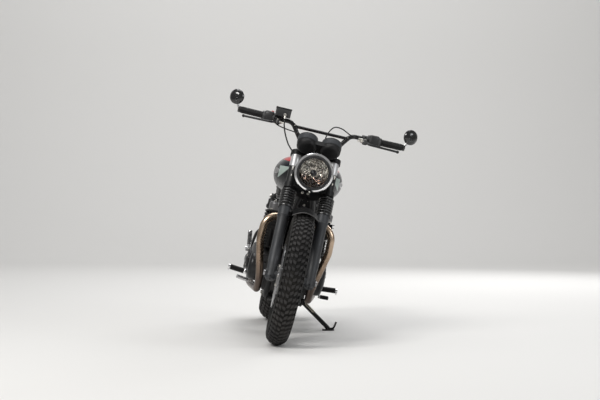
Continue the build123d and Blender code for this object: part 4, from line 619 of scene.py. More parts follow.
lamp_trim = Shape()
for side in SIDES:
    for drop, radius in ((0.0, 0.0085), (-0.034, 0.0055)):
        spot = Vector((side * (STANCHION_X + 0.0062), 0.125 + (0.012 if drop else 0), LAMP.z + drop))
        lamp_trim.nut(radius, spot, (side, 0, 0))
lamp_trim.turned([(4.5, 0), (4.5, 4), (3, 5), (0, 5)], 12,
                 aim(LAMP + Vector((0, 0.004, -0.0945)), (0, -0.3, -1)))
lamp_trim.piece("lamp_bracket_bolts", ZINC, "steer", "steel")

# Fork: clamp bolts, caps, dust lips and mudguard trim

fork_bolts = Shape()
fork_caps = Shape()
fork_clips = Shape()
for side in SIDES:
    x = side * STANCHION_X
    fork_caps.turned([(15.5, 0), (15.5, 3), (14, 5), (9, 5), (9, 8.5), (7.5, 10), (0, 10)], 32,
                     aim(fork_spot(x, FORK_BACK, 1.0158), FORK_UP))
    fork_caps.nut(0.0085, fork_spot(x, FORK_BACK, 1.0245), FORK_UP)
    for s in (0.814, 0.997):
        for step in ((-0.007, 0.007) if s < 0.9 else (0.0,)):
            spot = fork_spot(x - side * 0.018, FORK_BACK - 0.0335, s + step)
            fork_bolts.bolt(0.0048, spot, FORK_AHEAD)
    for s in (0.3005, 0.318):
        spot = fork_spot(x, FORK_BACK - 0.0265, s)
        fork_bolts.bolt(0.0042, spot, FORK_AHEAD)
    for s, radius in ((0.6985, 0.0408), (0.7905, 0.0312)):
        fork_clips.add(*lathe([(radius - 0.0095, -0.0028), (radius - 0.0088, -0.0034),
                               (radius - 0.0088, 0.0034), (radius - 0.0095, 0.0028)], 40, True),
                       aim(fork_spot(x, FORK_BACK, s), FORK_UP))
    fork_clips.turned([(30.2, -4), (31.8, -3), (31.8, 3), (30.2, 4)], 40,
                      aim(fork_spot(x, FORK_BACK, 0.65), FORK_UP), closed=True)
fork_bolts.piece("fork_clamp_bolts", BLACK_BOLT, "steer", "black_frame")
fork_caps.piece("fork_top_caps", ALLOY, "steer", "chrome")
fork_clips.piece("fork_collar_rings", SLIDER_GREY, "steer", "slider_grey")

stem_nut = Shape()
stem_nut.turned([(17, 0), (17, 2), (15.5, 3.5), (0, 3.5)], 32, aim(fork_spot(0, 0, 1.0092), FORK_UP))
stem_nut.add(*prism(circle(0.0145, 6), 0.009, 0.0015), aim(fork_spot(0, 0, 1.0115), FORK_UP))
stem_nut.piece("steering_stem_nut", ALLOY, "steer", "chrome")

# Rolled lip on the front mudguard in lighter grey, a painted highlight line.
lip = Shape()
for degrees in (-22, 66):
    guard_edge(lip, FRONT_AXLE, 0.062, 0.342, 0.026, degrees)
lip.piece("front_mudguard_lip", LIP_HIGHLIGHT, "steer", "guard_black", 40)

# Bar clamps, brace clamps, switches, levers, grips

BAR_CENTRE = fork_spot(0, 0.008, 1.056)
BAR_KNEE = Vector((0.15, 0.368, 1.074))
BAR_END = Vector((0.421, 0.425, 1.08))
BAR_RUN = (BAR_END - BAR_KNEE).normalized()


def bar_spot(distance, side=1):
    spot = BAR_END - BAR_RUN * distance
    return Vector((side * spot.x, spot.y, spot.z))


def bar_aim(distance, side=1):
    return aim(bar_spot(distance, side), (side * BAR_RUN.x, BAR_RUN.y, BAR_RUN.z), AHEAD)


clamp_bolts = Shape()
for side in SIDES:
    for x in (0.034, 0.05):
        for y in (-0.0145, 0.0145):
            spot = BAR_CENTRE + Vector((side * x, y, 0.0125))
            clamp_bolts.bolt(0.0036, spot, UP)
    half0 = Vector((0.062, BAR_CENTRE.y, BAR_CENTRE.z))
    end = half0 + (BAR_KNEE - half0) * 0.86
    for angle in (0, 90):
        a = radians(angle + 20)
        spot = Vector((side * (end.x - 0.001), end.y - 0.0108 * cos(a), end.z + 0.0108 * sin(a)))
        clamp_bolts.bolt(0.003, spot, (0, -cos(a), sin(a)))
clamp_bolts.piece("bar_clamp_bolts", ZINC, "steer", "steel")

GRIP_RIBS = 22
ribs = Shape()
for side in SIDES:
    profile = [(0.0163, 0.0)]
    for k in range(GRIP_RIBS):
        z = 0.0035 + 0.106 * k / GRIP_RIBS
        profile += [(0.0163, z), (0.0174, z + 0.0012), (0.0174, z + 0.0028), (0.0163, z + 0.004)]
    profile += [(0.0163, 0.112), (0.021, 0.1125), (0.0215, 0.114), (0.0215, 0.1165), (0.0205, 0.118),
                (0.0163, 0.118)]
    place = aim(bar_spot(0.004, side), (-side * BAR_RUN.x, -BAR_RUN.y, -BAR_RUN.z), AHEAD)
    ribs.add(*lathe(profile, 28, True), place)
    ribs.add(*lathe([(0.0155, -0.014), (0.0162, -0.012), (0.0162, -0.001), (0.0155, 0), (0, 0)][::-1], 28),
             bar_aim(0.002, side), 1)
ribs.piece("ribbed_grips", [RUBBER, BAR_BLACK], "steer", "rubber", 30)

switches = Shape()
red = Shape()
bright = Shape()
for side in SIDES:
    # two-part housing with a split line and buttons on its rider side
    base = bar_aim(0.155, side)
    switches.box((0.05, 0.056, 0.052), 0.011, 3, base @ at(-0.001, 0, 0))
    switches.turned([(23.6, -31), (24.4, -30), (24.4, -27.5), (23.6, -26.5)], 32, base, closed=True)
    for rise, out, size in ((0.008, 0, 0.011), (-0.009, -0.012, 0.008), (-0.009, 0.012, 0.008)):
        place = at(bar_spot(0.155, side) + Vector((side * out, 0.0275, rise)))
        switches.box((size, 0.008, size * 1.3), 0.0018, 2, place, 1)
    # perch clamp with its two bolts, pivot bolt and a bright adjuster
    for z in (-0.009, 0.009):
        switches.bolt(0.0036, bar_spot(0.202, side) + Vector((0, -0.0185, z)), AHEAD, 1)
    hub = bar_spot(0.201, 1)
    pivot = Vector((side * hub.x, hub.y - 0.03, hub.z - 0.018))
    switches.turned([(11.5, -11), (12.5, -10), (12.5, 10), (11.5, 11), (0, 11)], 24, aim(pivot, (0, 0.15, 1)))
    bright.nut(0.006, pivot + Vector((0, 0.0018, 0.0115)), (0, 0.15, 1))
    bright.add(*lathe([(0.0055, -0.012), (0.0055, 0.0), (0.0046, 0.0035), (0.0046, 0.01), (0.0052, 0.011),
                       (0.0052, 0.0145), (0.0036, 0.016), (0, 0.016)], 16),
               aim(pivot + Vector((-side * 0.021, -0.006, 0.002)), (-side, -0.25, -0.12)))
    rib_profile = [(0.0068, 0.0)]
    for k in range(6):
        rib_profile += [(0.0068, 0.001 + 0.0018 * k), (0.0075, 0.0014 + 0.0018 * k),
                        (0.0075, 0.002 + 0.0018 * k)]
    bright.add(*lathe(rib_profile + [(0, 0.0125)], 20),
               aim(pivot + Vector((-side * 0.012, -0.004, 0.001)), (-side, -0.25, -0.12)))
red.box((0.014, 0.01, 0.009), 0.0022, 2, at(bar_spot(0.166, -1) + Vector((0, -0.004, 0.0275))))
red.piece("kill_switch_red", RED_PLASTIC, "steer", "red_lens")
switches.piece("switch_housings", [COVER_BLACK, PLASTIC], "steer", "black_plastic")
bright.piece("lever_adjusters", ZINC, "steer", "steel")

reservoir = Shape()
top = bar_spot(0.219, 1)
centre = Vector((-top.x, top.y - 0.022, top.z + 0.034))
reservoir.box((0.0805, 0.0525, 0.008), 0.0024, 2, at(centre + Vector((0, 0, 0.0195))))
for x in (-0.034, 0.034):
    for y in (-0.02, 0.02):
        reservoir.add(*cap_bolt(0.0025), at(centre + Vector((x, y, 0.0232))), 1)
reservoir.turned([(8.5, 0), (8.5, 2), (6.8, 3), (0, 3)], 24,
                 aim(centre + Vector((0.012, 0.0252, -0.006)), (0, 1, 0)), 1)
reservoir.piece("reservoir_lid", [PLASTIC, ZINC], "steer", "black_plastic")

# Instruments: dials, needles and glass

DIAL_TILT = Matrix.Rotation(radians(-38), 4, "X")
DIAL_BASE = at(0, 0.222, 0.979) @ DIAL_TILT
DIAL_MARKS = 41
dials = Shape()
dial_glass = Shape()
dial_lip = Shape()
for side in SIDES:
    place = DIAL_BASE @ at(side * 0.06, 0, 0)
    dials.turned([(43.8, 24.3), (0, 24.3)], 48, place)
    for k in range(DIAL_MARKS):
        a = radians(-120 + 240 * k / (DIAL_MARKS - 1))
        long = 0.007 if k % 5 == 0 else 0.0035
        spot = Matrix.Rotation(a, 4, "Z") @ at(0.0395 - long / 2, 0, 0.0246)
        dials.box((long, 0.0007, 0.0003), 0.0001, 1, place @ spot, 1)
    dials.add(*prism([(-0.01, -0.0013), (0.03, -0.0004), (0.03, 0.0004), (-0.01, 0.0013)], 0.0006),
              place @ Matrix.Rotation(radians(214), 4, "Z") @ at(0, 0, 0.0265), 2)
    dials.turned([(5, 24.5), (5, 27.8), (3.5, 28.8), (0, 28.8)], 20, place)
    dials.box((0.026, 0.0095, 0.0008), 0.0003, 1, place @ at(0, -0.018, 0.0246), 3)
    dial_glass.turned([(45.2, 29.5), (45.2, 30.5), (0, 31.8)], 48, place)
    dial_lip.turned([(44.9, 30.5), (45.9, 32.3), (48.7, 32.3), (49.7, 31), (50.2, 24), (49.7, 23.5),
                     (49.2, 28)], 48, place, closed=True)
    dial_lip.turned([(49.9, -2), (50.6, -1.5), (50.8, 0), (50.8, 22.5), (49.9, 23.5)], 48, place, closed=True)
dials.piece("instrument_dials", [DIAL_BLACK, WHITE_MARK, RED_PLASTIC, DARK_ALLOY], "steer", "black_plastic")
dial_glass.piece("instrument_glass", GLASS, "steer", "lamp_glass")
dial_lip.piece("instrument_bezels", SATIN_GREY, "steer", "black_plastic")

# Mirrors: glass, rim and a bright stalk clamp

mirror_glass = Shape()
mirror_rim = Shape()
mirror_clamp = Shape()
for side in SIDES:
    head = Vector((side * (BAR_END.x + 0.032), BAR_END.y + 0.006, BAR_END.z + 0.06))
    turn = Matrix.Rotation(radians(side * 24), 4, "Z")
    face_axis = turn @ Vector((0, 1, 0))
    place = aim(head, face_axis, turn @ Vector((1, 0, 0)))
    mirror_glass.turned([(34.5, 6.6), (20, 6.8), (0, 6.9)], 48, place)
    mirror_rim.turned([(34.2, 6.2), (34.7, 7.8), (37.2, 7.8), (38.3, 6.2), (38.5, 0), (37.9, -1), (37.7, 4)],
                      56, place, closed=True)
    mirror_rim.turned([(0, -16.5), (5, -16), (7.5, -14.5), (8.5, -12.5), (6, -12.5)], 24, place)
    low = bar_spot(-0.005, side)
    high = head + Vector((0, -0.01, -0.008))
    run = (high - low).normalized()
    mirror_clamp.turned([(7.5, -7), (7.5, 7), (5.8, 9), (0, 9)], 20, aim(low + run * 0.018, run))
    mirror_clamp.turned([(7.8, -7.5), (8.5, -6.5), (8.5, 6.5), (7.8, 7.5), (0, 7.5)], 20,
                        aim(high - run * 0.006, (0, 1, 0.2)))
    mirror_clamp.bolt(0.0042, low + run * 0.018 + Vector((0, -0.0072, 0)), AHEAD)
mirror_glass.piece("mirror_glass", MIRROR_GLASS, "steer", "chrome")
mirror_rim.piece("mirror_rims", PLASTIC, "steer", "mirror_black")
mirror_clamp.piece("mirror_clamps", ALLOY, "steer", "steel")


# Engine: cover bolts, plug caps, exhaust collars, radiator core and hoses

cover_bolts = Shape()
cover_bosses = Shape()


def boss_bolt(x, y, z, side, depth=0.022, radius=0.0085):
    cover_bosses.add(*lathe([(radius, 0), (radius, depth), (radius * 0.86, depth + 0.0012),
                             (0, depth + 0.0012)], 18), aim((x, y, z), (side, 0, 0)))
    cover_bolts.bolt(radius * 0.56, (x + side * (depth + 0.001), y, z), (side, 0, 0))


for x, y, z, radius, turns in ((-0.1125, 0.716, 0.35, 0.0945, range(-70, 121, 38)),
                               (-0.1125, 0.585, 0.322, 0.0765, (112, 150, 188, 226, 262)),
                               (0.1125, 0.59, 0.325, 0.0865, range(40, 330, 40))):
    for degrees in turns:
        a = radians(degrees)
        boss_bolt(x, y + radius * cos(a), z + radius * sin(a), copysign(1, x))
for y, z in ((0.845, 0.352), (0.812, 0.29), (0.805, 0.392)):
    boss_bolt(0.14, y, z, 1, 0.006, 0.007)
for degrees in range(20, 380, 72):
    a = radians(degrees)
    cover_bolts.bolt(0.0042, (-0.2138, 0.716 + 0.045 * cos(a), 0.35 + 0.045 * sin(a)), (-1, 0, 0))
for x in (-0.14, -0.05, 0.05, 0.14):
    for y in (0.5, 0.632):
        cover_bolts.bolt(0.0055, (x, y, 0.6675), UP)
for x in (-0.152, 0.152):
    for y in (0.496, 0.636):
        cover_bolts.nut(0.0085, (x, y, 0.6242), UP)
cover_bolts.nut(0.011, (0.02, 0.62, 0.1676), (0, 0, -1))
cover_bosses.piece("engine_cover_bosses", COVER_BLACK, "root", "engine_satin")
cover_bolts.piece("engine_cover_bolts", ZINC, "root", "steel")

covers = Shape()
covers.turned([(36, 0), (36, 2), (34, 3.5), (16, 3.5), (15, 1.5), (0, 1.5)], 48,
              aim((-0.2138, 0.716, 0.35), (-1, 0, 0)))
covers.turned([(22, 0), (22, 6), (19, 8.5), (6, 8.5), (6, 6.5), (0, 6.5)], 6,
              aim((-0.1998, 0.6, 0.374), (-1, 0, 0)))
covers.turned([(50, 0), (50, 2.2), (48, 3.6), (20, 3.6), (19, 1.5), (0, 1.5)], 48,
              aim((0.1958, 0.59, 0.325), (1, 0, 0)))
for y, z in circle(1, 12):
    covers.box((0.022, 0.0035, 0.0022), 0.0008, 1,
               aim((0.1998, 0.59 + 0.034 * y, 0.325 + 0.034 * z), (1, 0, 0), (0, y, z)))
covers.turned([(34, 0), (34, 45), (31, 52), (24, 56), (0, 56)], 40, aim((0, 0.47, 0.262), (0, -1, -0.25)))
covers.piece("engine_cover_details", DARK_ALLOY, "root", "dark_alloy", 30)

plugs = Shape()
for side in SIDES:
    seat_spot = Vector((side * 0.07, 0.566, 0.6672))
    plugs.turned([(16, 0), (16, 4), (11.5, 6), (11.5, 20), (9, 24), (0, 24)], 24, aim(seat_spot, UP))
    plugs.add(*tube(smooth_path([seat_spot + Vector((0, 0, 0.018)), seat_spot
                                 + Vector((-side * 0.006, 0.012, 0.034)), (side * 0.045, 0.615, 0.706),
                                 (side * 0.03, 0.68, 0.712), (side * 0.022, 0.74, 0.7)]), 0.0035, 10))
plugs.piece("plug_caps_and_leads", RUBBER, "root", "rubber", 40)

SILENCER_AXIS = (0, 0.625, 0.036)
collars = Shape()
for side in SIDES:
    port = Vector((side * 0.07, 0.462, 0.598))
    profile = [(0.0215, -0.001)]
    for k in range(4):
        z = 0.001 + 0.0045 * k
        profile += [(0.03, z), (0.033, z + 0.0006), (0.033, z + 0.0018), (0.03, z + 0.0026)]
    profile += [(0.026, 0.0195), (0.0215, 0.0195)]
    collars.add(*lathe(profile, 40, True), aim(port + Vector((0, -0.0095, 0)), AHEAD))
    for dx in (-0.027, 0.027):
        collars.nut(0.006, port + Vector((dx, -0.0285, 0.0)), AHEAD, 1)
    collars.turned([(21.5, -9), (23.5, -8), (23.5, 8), (21.5, 9)], 36,
                   aim((side * 0.178, 0.992, 0.2825), SILENCER_AXIS), closed=True)
    collars.box((0.01, 0.014, 0.016), 0.002, 1, at(side * 0.178, 0.992, 0.2565))
    collars.bolt(0.0036, (side * 0.1835, 0.992, 0.2545), (side, 0, 0), 1)
collars.piece("exhaust_collars_and_clamps", [STEEL, ZINC], "root", "steel")

silencer_trim = Shape()
for side in SIDES:
    place = aim((side * 0.178, 0.985, 0.282), SILENCER_AXIS)
    for s in (0.112, 0.555):
        band = [(0.0392, -0.006), (0.0414, -0.0055), (0.0414, 0.0055), (0.0392, 0.006)]
        silencer_trim.add(*lathe(band, 48, True), place @ at(0, 0, s))
    for k in range(6):
        a = 2 * pi * k / 6
        spot = Matrix.Rotation(a, 4, "Z") @ at(0.041, 0, 0.112) @ Matrix.Rotation(pi / 2, 4, "Y")
        silencer_trim.turned([(3, 0), (2.6, 1.2), (0, 1.6)], 10, place @ spot, 1)
    silencer_trim.turned([(17.5, 600), (18.5, 640.2), (20.5, 641.5), (23.2, 640.2), (23.8, 632)], 40, place, 1)
    place = aim((side * 0.146, 1.145, 0.318), (side, 0, 0), (0, 1, 0))
    if side < 0:
        place = place @ Matrix.Rotation(pi, 4, "X")
    silencer_trim.add(*prism([(0, 0), (0.052, 0), (0.034, 0.086), (0.014, 0.086)], 0.004, 0.0008), place)
silencer_trim.piece("silencer_bands_and_tips", [SILENCER_BLACK, DARK_ALLOY], "root", "silencer_black")

upper_tube, lower_tube = Vector((0.058, 0.372, 0.6)), Vector((0.084, 0.405, 0.29))
tilt = atan2(lower_tube.y - upper_tube.y, upper_tube.z - lower_tube.z)
share = (upper_tube.z - 0.47) / (upper_tube.z - lower_tube.z)
RADIATOR = at(0, upper_tube.y + (lower_tube.y - upper_tube.y) * share
                               - 0.0303 / cos(tilt), 0.47) @ Matrix.Rotation(tilt, 4, "X")
fins = Shape()
for k in range(9):
    x = -0.068 + 0.017 * k
    fins.box((0.0026, 0.004, 0.184), 0.0008, 1, RADIATOR @ at(x, -0.0135, 0))
for k in range(8):
    x = -0.0595 + 0.017 * k
    count = 46
    verts = []
    for j in range(count + 1):
        z = -0.091 + 0.182 * j / count
        swing = 0.0066 * (1 if j % 2 else -1)
        verts += [(x + swing, -0.0152, z), (x + swing, -0.011, z)]
    faces = [(2 * j, 2 * j + 1, 2 * j + 3, 2 * j + 2) for j in range(count)]
    fins.add(verts, faces, RADIATOR)
fins.piece("radiator_fins", DARK_ALLOY, "root", "radiator_black", 30)

radiator_trim = Shape()
for z in (0.094, -0.094):
    for k in range(12):
        radiator_trim.box((0.009, 0.0345, 0.003), 0.0008, 1, RADIATOR @ at(-0.071 + 0.0129 * k, 0, z))
radiator_trim.turned([(16, 0), (16, 10), (19.5, 11), (19.5, 16), (12, 18.5), (0, 18.5)], 28,
                     RADIATOR @ at(0.045, 0, 0.114))
radiator_trim.piece("radiator_cap_and_tabs", PLASTIC, "root", "radiator_black")

hoses = Shape()
clips = Shape()
for path in ([(-0.055, 0.372, 0.562), (-0.06, 0.392, 0.59), (-0.05, 0.43, 0.622), (-0.03, 0.478, 0.636)],
             [(0.05, 0.4, 0.372), (0.06, 0.425, 0.352), (0.052, 0.446, 0.338), (0.04, 0.47, 0.33)]):
    curve = smooth_path(path, 8)
    hoses.add(*tube(curve, 0.0135, 20))
    for index in (3, -4):
        run = (curve[index + 1] - curve[index - 1]).normalized()
        clips.turned([(13.6, -5), (14.6, -4.5), (14.6, 4.5), (13.6, 5)], 28, aim(curve[index], run),
                     closed=True)
hoses.piece("coolant_hoses", RUBBER, "root", "rubber", 40)
clips.piece("hose_clips", ZINC, "root", "steel")

# Shocks with real coils

shock = Shape()
coil = Shape()
low_eye, top_eye = Vector((0.143, 1.388, 0.392)), Vector((0.143, 1.225, RAIL_Z - 0.004))
length = (top_eye - low_eye).length
for side in SIDES:
    low_point, top_point = (Vector((side * p.x, p.y, p.z)) for p in (low_eye, top_eye))
    place = aim(low_point, top_point - low_point)
    shock.add(*lathe([(0, 0.012), (0.0128, 0.012), (0.0128, 0.05), (0.0275, 0.051), (0.028, 0.058),
                      (0.0195, 0.059), (0.0185, 0.064), (0.0185, 0.15), (0.0165, 0.152), (0.0065, 0.153),
                      (0.0065, length - 0.072), (0.0275, length - 0.071), (0.028, length - 0.061),
                      (0.0225, length - 0.052), (0.0225, length - 0.024), (0.012, length - 0.014),
                      (0, length - 0.014)], 36), place)
    for k in range(10):
        a = 2 * pi * k / 10
        shock.box((0.004, 0.006, 0.007), 0.0008, 1, place @ Matrix.Rotation(a, 4, "Z") @ at(0.0262, 0, 0.054))
    for point in (low_point, top_point):
        shock.turned([(7.2, -12), (15.5, -12), (16.3, -10.5), (16.3, 10.5), (15.5, 12), (7.2, 12)], 32,
                     aim(point, (1, 0, 0)), closed=True)
        shock.nut(0.0095, point + Vector((side * 0.0135, 0, 0)), (side, 0, 0), 1)
    path = []
    turns, steps = 9.5, 20
    for k in range(int(turns * steps) + 1):
        a = 2 * pi * k / steps
        z = 0.0615 + (length - 0.0745 - 0.0615) * k / (turns * steps)
        path.append(place @ Vector((0.0228 * cos(a), 0.0228 * sin(a), z)))
    coil.add(*tube(path, 0.0036, 10))
shock.piece("shock_dampers", [COVER_BLACK, ZINC], "root", "black_shock", replaces=["shocks"])
coil.piece("shock_coils", SPRING_BLACK, "root", "black_shock", 60)

# Seat

SEAT_BASE = RAIL_Z + 0.0128
SEAT_FRONT, SEAT_BACK = 0.912, 1.56
SEAT_STEPS = 44
# share of the length, half width of the floor, half width of the side, height of the side, height of the top
SEAT_SECTIONS = [(0.0, 0.082, 0.092, 0.052, 0.074), (0.15, 0.128, 0.146, 0.048, 0.078),
                 (0.44, 0.136, 0.15, 0.05, 0.08), (0.75, 0.132, 0.146, 0.056, 0.092),
                 (1.0, 0.104, 0.112, 0.056, 0.084)]
SEAT_INSET = 0.0045
SWELL_LIMIT = 0.0045
CHANNEL_PITCH = 0.0314
SEAM_X = 0.118
CLOTH = {"use_pressure": True, "uniform_pressure_force": 4.0, "vertex_group_mass": "pin", "quality": 5,
         "tension_stiffness": 15, "compression_stiffness": 15, "shear_stiffness": 5, "bending_stiffness": 0.6}


def applied(obj):
    """Mesh of an object with its modifiers."""
    graph = bpy.context.evaluated_depsgraph_get()
    return bpy.data.meshes.new_from_object(obj.evaluated_get(graph))


def clamp(value):
    return min(max(value, 0.0), 1.0)


def seat_ring(share):
    """Outline across the seat at a share of its length."""
    for first, second in zip(SEAT_SECTIONS, SEAT_SECTIONS[1:]):
        if share <= second[0] + 1e-9:
            t = (share - first[0]) / (second[0] - first[0])
            t = t * t * (3 - 2 * t) * 0.4 + t * 0.6
            floor_half, side_half, side_z, top_z = (a + (b - a) * t for a, b in zip(first[1:], second[1:]))
            break
    pull = max(0.0, 1 - min(share, 1 - share) / 0.035) ** 2
    y = SEAT_FRONT + (SEAT_BACK - SEAT_FRONT) * share
    y = min(max(y, SEAT_FRONT + SEAT_INSET), SEAT_BACK - SEAT_INSET)
    floor_half -= SEAT_INSET + 0.01 * pull
    side_half -= SEAT_INSET + 0.014 * pull
    top = top_z - SEAT_INSET - 0.016 * pull
    low, rise = SEAT_BASE + 0.0015, side_z - 0.008
    flank = [(floor_half + (side_half - floor_half) * k / 5, low + rise * k / 5) for k in range(5)]
    turns = [pi * k / 16 for k in range(17)]
    ring = [(-floor_half, low)] + flank
    ring += [(side_half * cos(a), SEAT_BASE + rise + (top - rise) * sin(a) ** 0.62) for a in turns]
    ring += [(-x, z) for x, z in reversed(flank[1:])]
    return [(x, y, z) for x, z in ring]


def swell(pad):
    """Blows the cover up as cloth under pressure, at most SWELL_LIMIT from where it was."""
    start = [vert.co.copy() for vert in pad.data.vertices]
    group = pad.vertex_groups.new(name="pin")
    group.add([i for i, co in enumerate(start) if (UPRIGHT @ co).z < SEAT_BASE + 0.01], 1.0, "REPLACE")
    cloth = pad.modifiers.new("cloth", "CLOTH")
    for key, value in CLOTH.items():
        setattr(cloth.settings, key, value)
    cloth.settings.effector_weights.gravity = 0.0
    for number in range(1, 21):
        bpy.context.scene.frame_set(number)
    swollen = applied(pad)
    for vert, origin in zip(swollen.vertices, start):
        move = vert.co - origin
        if move.length > SWELL_LIMIT:
            vert.co = origin + move * (SWELL_LIMIT / move.length)
    pad.modifiers.clear()
    pad.vertex_groups.clear()
    pad.data = swollen
    bpy.context.scene.frame_set(1)


def seat_pad():
    rows = [seat_ring(index / SEAT_STEPS) for index in range(SEAT_STEPS + 1)]
    count = len(rows[0])
    faces = quads(len(rows), count)
    faces += [tuple(range(count))[::-1], tuple(range(SEAT_STEPS * count, (SEAT_STEPS + 1) * count))]
    mesh = bpy.data.meshes.new("seat_cover")
    mesh.from_pydata([ROW @ Vector(vert) for ring in rows for vert in ring], [], faces)
    mesh.update()
    pad = bpy.data.objects.new("seat_cover", mesh)
    bpy.context.scene.collection.objects.link(pad)
    remesh = pad.modifiers.new("remesh", "REMESH")
    remesh.mode = "VOXEL"
    remesh.voxel_size = 0.006
    pad.data = applied(pad)
    pad.modifiers.clear()
    swell(pad)
    subdivide = pad.modifiers.new("subdivide", "SUBSURF")
    subdivide.levels = 1
    subdivide.render_levels = 1
    pad.data = applied(pad)
    pad.modifiers.clear()
    pad.data.update()
    # sewn channels across the top, a seam line round the side
    normals = [vert.normal.copy() for vert in pad.data.vertices]
    for vert, normal in zip(pad.data.vertices, normals):
        spot = UPRIGHT @ vert.co
        lift = (UPRIGHT.to_3x3() @ normal).z
        if lift > 0.25 and 0.955 < spot.y < 1.52:
            phase = (spot.y - 0.955) / CHANNEL_PITCH
            groove = exp(-((phase - round(phase)) / 0.13) ** 2)
            fade = clamp((SEAM_X - abs(spot.x)) / 0.012) * clamp((lift - 0.25) / 0.3)
            roll = 0.5 + 0.5 * cos(2 * pi * phase)
            vert.co -= normal * (0.0042 * groove + 0.0012 * roll) * fade
        if lift > 0.2 and 0.94 < spot.y < 1.535:
            vert.co -= normal * 0.0028 * exp(-((abs(spot.x) - SEAM_X) / 0.0035) ** 2)
    pad.data.shade_smooth()
    pad.data.materials.clear()
    pad.data.materials.append(SEAT_VINYL)
    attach(pad, "root")
    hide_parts("seat")
    return pad


seat_tree = BVHTree.FromObject(seat_pad(), bpy.context.evaluated_depsgraph_get())
tank_tree = BVHTree.FromObject(NODES["fuel_tank"], bpy.context.evaluated_depsgraph_get())


def meet(tree, point, direction):
    """Where a ray from an upright point meets a surface, or None."""
    hit = tree.ray_cast(ROW @ Vector(point), ROW.to_3x3() @ Vector(direction))[0]
    return None if hit is None else UPRIGHT @ hit


piping = Shape()
stitches = Shape()
for side in SIDES:
    path = [meet(seat_tree, (side * 0.3, 0.926 + 0.622 * k / 56, SEAT_BASE + 0.0445), (-side, 0, 0))
            for k in range(57)]
    piping.add(*tube([spot + Vector((side * 0.0006, 0, 0)) for spot in path if spot], 0.0024, 8))
    for k in range(150):
        spot = meet(seat_tree, (side * 0.112, 0.945 + 0.59 * k / 149, 1.0), (0, 0, -1))
        if spot:
            stitches.box((0.0008, 0.0026, 0.0008), 0.0003, 1, at(spot.x, spot.y, spot.z + 0.0002))
piping.piece("seat_piping", PIPING, "root", "seat_cover", 60)
stitches.piece("seat_stitching", PIPING, "root", "seat_cover", 60)

pan = Shape()
PAN_EDGE = ((0.08, 0.915), (0.11, 0.955), (0.127, 1.01), (0.133, 1.1), (0.1355, 1.2), (0.1335, 1.3),
            (0.131, 1.4), (0.12, 1.48), (0.105, 1.557))
for side in SIDES:
    path = smooth_path([(side * x, y, SEAT_BASE + 0.003) for x, y in PAN_EDGE], 4)
    pan.add(*tube(path, 0.0032, 8, flat=0.7))
pan.piece("seat_pan_edge", PLASTIC, "root", "black_plastic", 60)


# Control lines: the three CAD routes, with the hose drawn in behind the right ear

lines = Shape()
ferrules = Shape()
LINE_ROUTES = [
    (0.0035, [(-0.196, 0.331, 1.098), (-0.193, 0.314, 1.064), (-0.178, 0.306, 1.014), (-0.15, 0.302, 0.962),
              (-0.119, 0.298, 0.924), (-0.104, 0.286, 0.868), (-0.103, 0.266, 0.806), (-0.102, 0.246, 0.742),
              (-0.1, 0.222, 0.682), (-0.096, 0.196, 0.622), (-0.088, 0.166, 0.56), (-0.074, 0.14, 0.502),
              (-0.066, 0.128, 0.45)]),
    (0.003, [(0.211, 0.346, 1.069), (0.18, 0.338, 1.068), (0.142, 0.326, 1.076), (0.098, 0.312, 1.094),
             (0.056, 0.302, 1.092), (0.03, 0.298, 1.05), (0.024, 0.296, 0.992), (0.024, 0.3, 0.9257)]),
    (0.003, [(-0.25, 0.37, 1.0575), (-0.216, 0.35, 1.041), (-0.176, 0.334, 1.032), (-0.13, 0.318, 1.026),
             (-0.084, 0.308, 1.016), (-0.044, 0.303, 0.984), (-0.026, 0.3, 0.9257)]),
]
for radius, route in LINE_ROUTES:
    curve = smooth_path(route, 7)
    lines.add(*tube(curve, radius, 12))
    for index, run in ((0, curve[1] - curve[0]), (-1, curve[-2] - curve[-1])):
        ferrules.add(*lathe([(radius * 1.55, -0.001), (radius * 1.7, 0.001), (radius * 1.7, 0.012),
                             (radius * 1.3, 0.014), (radius * 1.3, 0.022), (radius * 0.9, 0.024)], 20),
                     aim(curve[index], run))
for spot, axis in ((Vector(LINE_ROUTES[0][1][0]), (0, -1, 0.1)), (Vector(LINE_ROUTES[0][1][-1]), (0, -1, 0.2))):
    ferrules.nut(0.0068, spot + Vector(axis) * 0.0045, axis)
lines.piece("control_lines", CABLE, "steer", "cable_black", 50, ["control_cables"])
ferrules.piece("control_line_ferrules", ZINC, "steer", "steel")

# Drive chain with side plates, rollers and pins

links = Shape()
CHAIN_X, PITCH = 0.091, 0.015875
front_centre, rear_centre = Vector((0.79, 0.335)), Vector((1.45, REAR_AXLE.z))
FRONT_TEETH, REAR_TEETH = 16, 42
small, large = (PITCH / 2 / sin(pi / teeth) for teeth in (FRONT_TEETH, REAR_TEETH))
gap = rear_centre - front_centre
heading = atan2(gap.y, gap.x)
spread = acos((small - large) / gap.length)


def on_circle(centre, radius, angle):
    return centre + Vector((cos(angle), sin(angle))) * radius


straight, rear_steps, front_steps = 200, 120, 60
top_front, low_front = (on_circle(front_centre, small, heading + turn) for turn in (spread, -spread))
top_rear, low_rear = (on_circle(rear_centre, large, heading + turn) for turn in (spread, -spread))
pitch_line = [top_front.lerp(top_rear, k / straight) for k in range(straight)]
for k in range(rear_steps):
    pitch_line.append(on_circle(rear_centre, large, heading + spread - 2 * spread * k / rear_steps))
pitch_line += [low_rear.lerp(low_front, k / straight) for k in range(straight)]
for k in range(front_steps):
    pitch_line.append(on_circle(front_centre, small, heading - spread
                                - (2 * pi - 2 * spread) * k / front_steps))
travel = [0.0]
for start, end in zip(pitch_line, pitch_line[1:] + pitch_line[:1]):
    travel.append(travel[-1] + (end - start).length)
link_count = 2 * round(travel[-1] / PITCH / 2)


